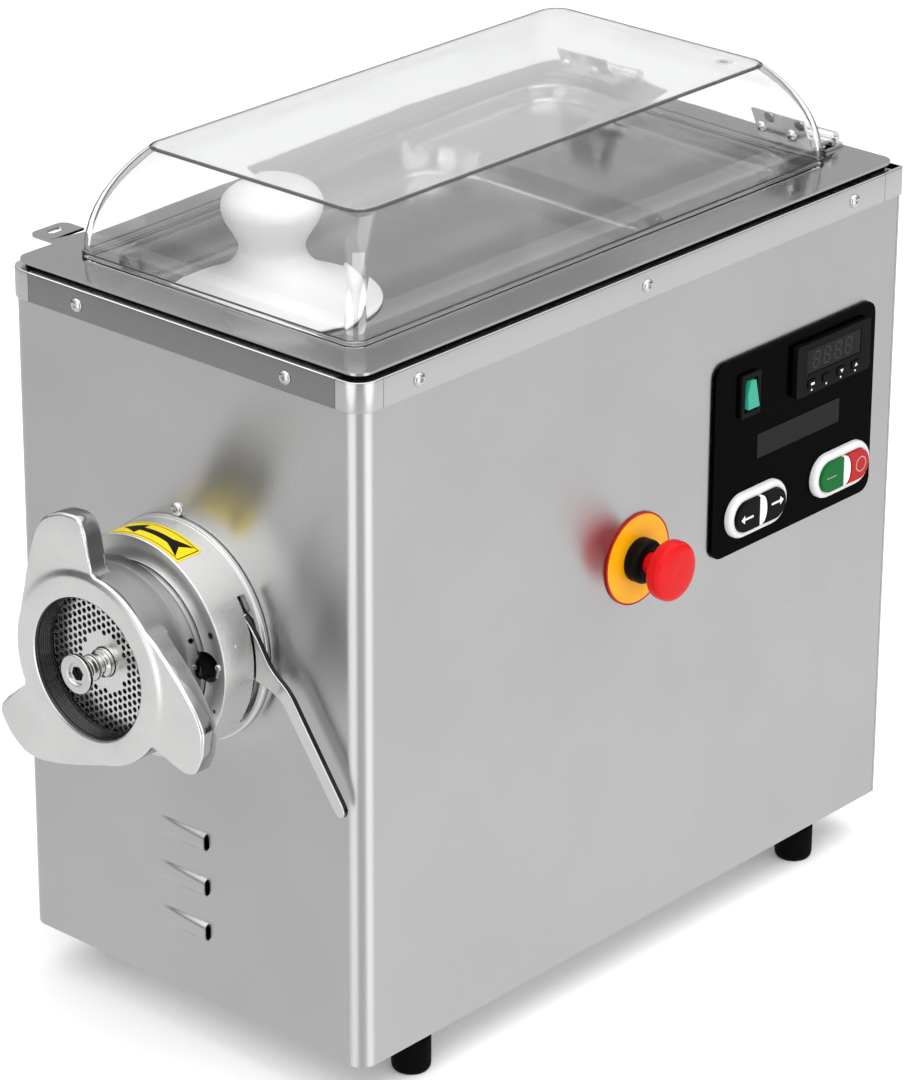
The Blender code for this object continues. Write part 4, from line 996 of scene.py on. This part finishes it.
def make_collar():
    """The blasted drum round the barrel, its rim slot, face holes, screws and arrow sticker."""
    front, back = COLLAR.y0, COLLAR.y1
    rim, inner, bore = 70.0, 66.0, 54.4
    outline = [(bore, front), (rim, front), (rim, back - 3.2), (rim + 1.5, back - 3.0), (rim + 1.5, back),
               (57.0, back), (57.0, back - 3), (inner, back - 3), (inner, front + 6), (bore, front + 6)]
    collar = spun("clamp_collar", eased(outline, 0.9, 3, closed=True), "collar", "cabinet", 128, ring=True)
    lever = Span("lock_lever")
    slot = arc(0.0, AXIS_Z, inner - 1.5, -36, 36, 16) + arc(0.0, AXIS_Z, rim + 6, 36, -36, 16)
    drills = ((9.5, 48, 56.0, 4.0, 10), (2.1, 24, 64.0, 23.0, 10), (1.3, 20, 65.0, -21.0, 4))
    cut(
        collar,
        hole(slot, lever.y0 - 1.0, lever.y1 + 1.0, "y"),
        *(hole(circle(radius, sides, *at_angle(out, angle)), front - 5, front + depth, "y")
          for radius, sides, out, angle, depth in drills),
    )
    stands_for(collar, "head_collar")
    x, z = at_angle(65.2, 5.5)
    screws("collar_face_screw", [((x, front, z), (0, -1, 0))], "cabinet", 2.1, 1.6)
    x, z = at_angle(rim, 14.0)
    aside = (math.cos(0.24), 0, math.sin(0.24))
    screws("collar_rim_pin", [((x, front + 12, z), aside)], "cabinet", 1.2, 0.5)
    screws("collar_top_screw", [((-4.0, -HALF_Y, 356.0), (0, -1, 0))], "cabinet", 4.6, 3.4)
    make_arrow_sticker(front, rim)


def bent_patch(name, outline, radius, thickness, look):
    """A flat outline of (angle, y) points wrapped round the head's axis as a thin label."""
    step = 3.0
    mesh = bmesh.new()
    mesh.faces.new([mesh.verts.new((a, y, 0.0)) for a, y in outline])
    low, high = min(a for a, _ in outline), max(a for a, _ in outline)
    for i in range(1, int((high - low) / step) + 1):
        parts = mesh.verts[:] + mesh.edges[:] + mesh.faces[:]
        bmesh.ops.bisect_plane(mesh, geom=parts, plane_co=(low + i * step, 0, 0), plane_no=(1, 0, 0))
    made = bmesh.ops.extrude_face_region(mesh, geom=mesh.faces[:])
    for item in made["geom"]:
        if isinstance(item, bmesh.types.BMVert):
            item.co.z = thickness
    for vertex in mesh.verts:
        x, z = at_angle(radius + vertex.co.z, vertex.co.x)
        vertex.co = (x, vertex.co.y, z)
    bmesh.ops.recalc_face_normals(mesh, faces=mesh.faces)
    finish_mesh(name, mesh, look, "cabinet", 50)


def make_arrow_sticker(front, rim):
    """A yellow label on the collar's rim with a thin border and a plain turning arrow."""
    y0, y1, middle = front + 1.8, front + 22.5, front + 12.15
    a0, a1 = 64.0, 113.0
    border, wide = 1.6, 0.5
    label = [(a0, y0), (a1, y0), (a1, y1), (a0, y1)]
    bent_patch("turning_label", label, rim + 0.02, 0.18, "arrow_yellow")
    shapes = {}
    for name, low in (("line_front", y0 + border), ("line_rear", y1 - border - wide)):
        corners = [(a0 + 1.5, low), (a1 - 1.5, low), (a1 - 1.5, low + wide), (a0 + 1.5, low + wide)]
        shapes[f"turning_label_{name}"] = corners
    shapes["turning_label_line_end"] = [(a0 + 1.1, y0 + border), (a0 + 1.6, y0 + border),
                                        (a0 + 1.6, y1 - border), (a0 + 1.1, y1 - border)]
    half = [(67.5, 8.0), (78.0, 2.6), (97.0, 2.2), (97.0, 7.0)]
    arrow = [(a, middle - v) for a, v in half] + [(109.5, middle)]
    shapes["turning_arrow"] = arrow + [(a, middle + v) for a, v in half[::-1]] + [(72.0, middle)]
    for name, outline in shapes.items():
        bent_patch(name, outline, rim + 0.14, 0.12, "ink")


def make_lever():
    """The flat locking lever with its sleeve ring inside the collar."""
    lever, bore = Span("lock_lever"), 55.4
    arm = [(50.0, 30.0), (60.0, 30.5), (70.0, 20.5), (82.5, 1.0), (97.0, -8.5), (140.0, -69.0),
           (141.5, -73.0), (140.0, -76.5), (136.5, -77.5), (133.5, -75.5), (91.0, -16.5), (81.0, -12.0),
           (70.0, -9.5), (50.0, -9.5)]
    arm = [(x, AXIS_Z + z) for x, z in eased(arm, 7.0, 5, closed=True)]
    piece = prism("lock_lever_arm", arm, lever.y0, lever.y1, ["polished", "lever_shaded_flank"], "lock_lever", "y")
    cut(piece, hole(circle(bore, 96, *HEAD_AXIS), lever.y0 - 3, lever.y1 + 3, "y"))
    settle(soften(piece, 0.9))
    # Sides that face right get the near-black steel: painted shade beside the bar.
    for face in piece.data.polygons:
        if face.normal.x > 0.45 and abs(face.normal.y) < 0.35:
            face.material_index = 1
    stands_for(piece, "lock_lever")
    sleeve = [(bore, lever.y0), (64.5, lever.y0), (64.5, lever.y1), (bore, lever.y1)]
    spun("lock_lever_ring", sleeve, "polished", "lock_lever", ring=True)


# ---------------------------------------------------------------- controls

PANEL = Span("control_panel")


def make_panel():
    """The black panel and its blank name plate."""
    use("control_panel", "gloss_black", 0.5, 3)
    y0, y1, z0, z1 = 110.0, 194.0, 318.0, 334.5
    outline, face = rounded(y0, y1, z0, z1, 0.8, 4), PANEL.x1
    plate = prism("blank_name_plate", outline, face + 0.02, face + 0.45, "plate", "cabinet", "x", 0.15, 2)


def raised(name, outline, face, height, body, look="mark"):
    """A flat white mark that stands on a face."""
    return slotted(prism(name, outline, face, face + height, look, body, "x"))


def make_rocker():
    """The mains switch: a black frame and a lit green rocker."""
    use("rocker_frame", "black", 0.4, 3)
    rocker = Span("rocker")
    low, high = rocker.z0 + 0.6, rocker.z1 - 0.6
    front = [(-5.6, low, 0.0), (5.6, low, 0.0), (4.6, rocker.z, -1.6), (2.6, high, -0.9), (-2.6, high, -0.9),
             (-4.6, rocker.z, -1.6)]
    loops = [[(x, rocker.y + y, z) for y, z, _ in front] for x in (rocker.x0, rocker.x0 + 1.0)]
    loops.append([(rocker.x1 + step, rocker.y + y, z) for y, z, step in front])
    piece = lofted("rocker_lens", loops, "lamp_green", "rocker", angle=20)
    stands_for(soften(piece, 0.3, 2), "rocker")


def make_thermostat():
    """The digital controller: dark window with unlit digits, and four marked keys."""
    unit = Span("thermostat")
    use("thermostat", "black", 0.35, 2)
    face = unit.x1
    outline = rounded(unit.y - 27.6, unit.y + 27.6, unit.z - 3.6, unit.z + 12.6, 1.2, 5)
    window = prism("thermostat_window", outline, face - 0.95, face - 0.25, "dark", "cabinet", "x", 0.2, 2)
    mesh = bmesh.new()
    for k in range(4):
        add_digit(mesh, unit.y - 18.0 + 11.0 * k, unit.z + 4.6, face - 0.3)
    bmesh.ops.recalc_face_normals(mesh, faces=mesh.faces)
    finish_mesh("thermostat_digits", mesh, "unlit", "cabinet")
    for number in range(1, 5):
        node = f"thermostat_key_{number}"
        key = Span(node)
        use(node, "black", 0.25, 2)
        outline = key_mark(number, key.y, key.z)
        if outline:
            mark = raised(f"thermostat_key_mark_{number}", outline, key.x1, 0.12, node)
            mark.data.set_sharp_from_angle(angle=math.radians(20))
        raised(f"thermostat_lamp_{number}", circle(0.7, 16, key.y, key.z - 4.4), face, 0.12, "cabinet")


def key_mark(number, y, z):
    """The small sign on a key: a bar, nothing, a downward and an upward triangle."""
    if number == 1:
        return rounded(y - 1.7, y + 1.7, z - 0.8, z + 0.8, 0.3, 3)
    if number == 2:
        return None
    up = 1 if number == 4 else -1
    return [(y - 1.5, z - 1.0 * up), (y + 1.5, z - 1.0 * up), (y, z + 1.3 * up)][::up]


def add_digit(mesh, y, z, x):
    """One unlit seven-segment figure, leaning a little as such displays do."""
    half_w, half_h, half_bar, lean, trim = 2.9, 5.2, 0.475, 0.12, 0.75
    bars = [(-half_w + trim, half_w - trim, v - half_bar, v + half_bar) for v in (-half_h, 0.0, half_h)]
    bars += [(u - half_bar, u + half_bar, v + trim, v + half_h - trim)
             for u in (-half_w, half_w) for v in (-half_h, 0.0)]
    for u0, u1, v0, v1 in bars:
        corners = ((u0, v0), (u1, v0), (u1, v1), (u0, v1))
        points = [(y + u + v * lean, z + v) for u, v in corners]
        add_loft(mesh, [along("x", points, h) for h in (x, x + 0.12)])


def racetrack(y, z, half_y, radius, steps=16):
    """Two half circles joined by straight lines."""
    reach = half_y - radius
    return arc(y + reach, z, radius, -90, 90, steps) + arc(y - reach, z, radius, 90, 270, steps)


def make_double_button(name, buttons):
    """A rounded bezel with two flush push buttons and a lens that bulges to the right.

    buttons lists the left and the right one's name, look and slot.
    """
    bezel = Span(f"{name}_bezel")
    y, z, face, back = bezel.y, bezel.z, bezel.x1, PANEL.x1 + GAP
    half_y, half_z = 29.5, 15.0
    levels = [(0.0, back), (0.0, back + 2.2), (0.5, back + 3.3), (1.4, face - 0.35), (2.5, face), (3.9, face),
              (4.5, face - 0.3), (4.6, face - 1.2), (4.6, back - 4.0), (4.0, back - 4.0), (4.0, back)]
    loops = [along("x", racetrack(y, z, half_y - d, half_z - d), x) for d, x in levels]
    ring = lofted(f"{name}_ring", loops, "silver", "cabinet", ring=True)
    stands_for(ring, f"{name}_bezel")
    r, end, seam, bulge = 10.2, half_y - half_z, 1.5, 5.2
    top, base = Span(f"{buttons[0][0]}_button").x1, back - 3.4
    bow = [(seam + bulge * math.cos(a), r * 0.97 * math.sin(a)) for a in
           (math.radians(-90 + 180 * i / 14) for i in range(15))]
    left = [(-u, v) for u, v in arc(end, 0.0, r, 90, -90, 16)] + [(seam - 3.0, -r), (seam - 3.0, r)]
    right = arc(end, 0.0, r, -90, 90, 16) + [(u + 0.2, v) for u, v in bow[::-1]]
    for (button, look, slot), outline in zip(buttons, (left, right)):
        points = [(y + u, z + v) for u, v in outline]
        piece = prism(f"{button}_cap", points, base, top, look, f"{button}_button", "x", 0.7)
        stands_for(piece, f"{button}_button")
    lens = [(seam - 2.6, r * 0.985), (seam - 2.6, -r * 0.985), *[(u - 0.4, v) for u, v in bow]]
    points = [(y + u, z + v) for u, v in lens]
    piece = prism(f"{name}_lens", points, base, top - 0.2, "lens", "cabinet", "x", 0.9, 4)
    return y, z, top


def make_arrow(name, y, z, x, body, sign):
    """A plain white arrow that points right for sign 1 and left for sign -1."""
    half, shaft, head, wide = 6.0, 0.75, 3.4, 2.9
    tip, tail = sign * half, -sign * half
    neck = tip - sign * head
    outline = [(tail, -shaft), (neck, -shaft), (neck, -wide), (tip, 0.0), (neck, wide), (neck, shaft),
               (tail, shaft)][::sign]
    raised(name, [(y + u, z + v) for u, v in outline], x, 0.1, body)


def make_buttons():
    """The two double buttons with their generic marks."""
    black = ("black", "black_plastic")
    y, z, top = make_double_button("direction", (("reverse", *black), ("forward", *black)))
    make_arrow("reverse_mark", y - 14.5, z - 1.0, top - 0.02, "reverse_button", -1)
    make_arrow("forward_mark", y + 16.0, z + 1.0, top - 0.02, "forward_button", 1)
    colours = (("start", "green", "green_plastic"), ("stop", "red", "red_plastic"))
    y, z, top = make_double_button("start_stop", colours)
    bar = rounded(y - 19.5, y - 9.5, z - 0.3, z + 0.3, 0.25, 3)
    raised("start_mark", bar, top - 0.02, 0.1, "start_button", "faint_mark")
    ring = [along("x", circle(r, 40, y + 16.2, z), h) for r, h in
            ((4.6, top - 0.02), (5.3, top - 0.02), (5.3, top + 0.08), (4.6, top + 0.08))]
    lofted("stop_mark", ring, "faint_mark", "stop_button", ring=True)


def make_emergency_stop():
    """The stop switch: a plain yellow label with a red rim, a threaded collar and a red head."""
    label, head = Span("estop_label"), Span("estop_head")
    x0, x1, tip = label.x0, label.x1, head.x1

    def piece(name, outline, radius, steps, look, body, sides):
        profile = eased(outline, radius, steps, closed=True)
        return turned(name, profile, look, body, "x", (label.y, label.z), sides, ring=True)

    disc = [(11.0, x0), (28.9, x0), (28.9, x1), (11.0, x1)]
    disc = piece("estop_label_disc", disc, 0.3, 3, "yellow", "cabinet", 96)
    stands_for(disc, "estop_label")
    rim = [(28.95, x0), (30.0, x0), (30.0, x1), (28.95, x1)]
    piece("estop_label_rim", rim, 0.2, 3, "red", "cabinet", 96)
    thread = [(14.2, 1.5), (14.2, 4.6), (13.4, 5.0), (14.2, 5.4), (14.2, 8.6), (12.8, 10.6),
              (11.5, 11.0), (7.4, 11.0), (7.4, -12), (8.0, -12), (8.0, 1.5)]
    thread = [(r, x0 + x) for r, x in thread]
    collar = piece("estop_collar_ring", thread, 0.4, 2, "black", "cabinet", 80)
    stands_for(collar, "estop_collar")
    use("estop_stem", "head_red", 0.3)
    mushroom = [(4.4, 15.2), (10.4, 15.2), (11.2, 13.6), (15.5, 12.4), (18.6, 11.0), (19.3, 9.0),
                (19.3, 4.2), (18.7, 2.5), (17.2, 1.2), (14.0, 0.5), (8.0, 0.12), (0.04, 0.0), (0.04, 8.0),
                (4.4, 8.0)]
    mushroom = [(r, tip - x) for r, x in mushroom]
    mushroom = piece("estop_mushroom", mushroom, 1.0, 3, "head_red", "estop_head", 96)
    stands_for(mushroom, "estop_head")


# ---------------------------------------------------------------- inside

INSIDE = {
    "auger": "cast", "knife": "cast", "output_shaft": "cast", "motor_shaft": "cast",
    "feed_throat": "polished", "cooling_coil": "copper", "gearbox_housing": "aluminium",
    "gearbox_cover": "aluminium", "motor": "aluminium", "condenser": "fins", "compressor": "enamel",
    "fan_motor": "enamel", "condenser_fan": "black",
}


def make_inside():
    for node, look in INSIDE.items():
        use(node, look, 0.0 if node in ("auger", "condenser") else 0.4)


# ---------------------------------------------------------------- studio


DIM_FLOOR, BRIGHT_FLOOR, HORIZON, MID_SKY, ZENITH = 0.74, 0.90, 0.08, 0.62, 1.75


def make_world():
    """A white studio with a dark horizon, a brighter ceiling and two bright walls low down."""
    world = bpy.data.worlds.new("studio")
    bpy.context.scene.world = world
    world.cycles.sampling_method = "NONE"
    studio = Nodes(world)

    def step(source, start, end, low, high):
        """A smooth change from low to high while the source goes from start to end."""
        made = studio.node("MapRange")
        made.interpolation_type = "SMOOTHSTEP"
        for socket, value in zip(made.inputs, (source, start, end, low, high)):
            studio.feed(socket, value)
        return made.outputs["Result"]

    def toward(direction):
        """How far a ray points that way, from -1 to 1."""
        made = studio.node("VectorMath", "DOT_PRODUCT")
        studio.feed(made.inputs[0], studio.node("TexCoord").outputs["Generated"])
        studio.feed(made.inputs[1], direction)
        return made.outputs["Value"]

    def plus(base, *walls):
        """The base with a soft-edged patch added in each wall's direction."""
        for wall, near, full, change in walls:
            base = studio.math("ADD", base, step(toward(wall), near, full, 0.0, change))
        return base

    up = toward((0.0, 0.0, 1.0))
    floor = step(toward((0.67, 0.74, 0.0)), -0.7, 0.7, DIM_FLOOR, BRIGHT_FLOOR)
    floor = plus(floor, ((0.75, -0.66, 0.0), 0.78, 0.88, -0.24))
    horizon = step(up, -0.24, -0.12, floor, HORIZON)
    middle = plus(step(up, 0.02, 0.20, horizon, MID_SKY), ((0.06, -1.0, 0.0), 0.86, 0.91, 1.0),
                  ((1.0, 0.06, 0.0), 0.86, 0.91, 1.0))
    sky = step(up, 0.50, 0.75, middle, ZENITH)
    background = studio.tree.nodes["Background"]
    studio.feed(background.inputs["Color"], (1.0, 1.0, 1.0, 1.0))
    studio.feed(background.inputs["Strength"], sky)


def make_studio():
    """The floor, the world and two soft lamps."""
    bpy.ops.mesh.primitive_plane_add(size=30.0, location=(0.0, 0.0, 0.0))
    floor = bpy.context.object
    floor.name = "studio_floor"
    floor.visible_glossy = False
    s = Surface("studio_floor", grey(0.93), 0.7)
    s.tint(s.ramp(s.noise(3.0, 2.0), 0.0, 0.1), grey(0.91))
    floor.data.materials.append(s.material)
    make_world()
    middle = Vector((0.0, 0.0, 0.3))
    lamps = (
        ("key", (1.2, 0.4, 3.2), 2.2, 34.0),
        ("fill", (1.6, -2.0, 1.5), 1.4, 16.0),
    )
    for name, place, size, power in lamps:
        light = bpy.data.lights.new(name, "AREA")
        light.shape, light.size, light.energy = "SQUARE", size, power
        lamp = bpy.data.objects.new(f"lamp_{name}", light)
        lamp.location = place
        lamp.rotation_mode = "QUATERNION"
        lamp.rotation_quaternion = (middle - lamp.location).to_track_quat("-Z", "Y")
        lamp.visible_camera = False
        lamp.visible_glossy = False
        bpy.context.scene.collection.objects.link(lamp)
    bpy.context.scene.view_settings.view_transform = "Standard"


def make_camera():
    """A long lens to the front right of the machine, looking down on it."""
    data = bpy.data.cameras.new("camera")
    data.lens, data.sensor_width = 158.0, 36.0
    camera = bpy.data.objects.new("camera", data)
    place = (1.82804, -2.02991, 1.47616)
    heading, tilt, roll = (math.radians(a) for a in (41.72, 66.15, 0.27))
    turn = Matrix.Rotation(heading, 4, "Z") @ Matrix.Rotation(tilt, 4, "X") @ Matrix.Rotation(roll, 4, "Z")
    camera.matrix_world = Matrix.Translation(place) @ turn
    bpy.context.scene.collection.objects.link(camera)
    bpy.context.scene.camera = camera


def main():
    make_camera()
    make_studio()
    cabinet = (make_shell, make_rear, make_feet, make_band, make_tray, make_lid, make_hinges, make_pusher)
    head = (make_barrel, make_collar, make_ring_nut, make_plate, make_stud, make_lever)
    controls = (make_panel, make_rocker, make_thermostat, make_buttons, make_emergency_stop)
    for make in (*cabinet, *head, *controls, make_inside):
        make()


main()
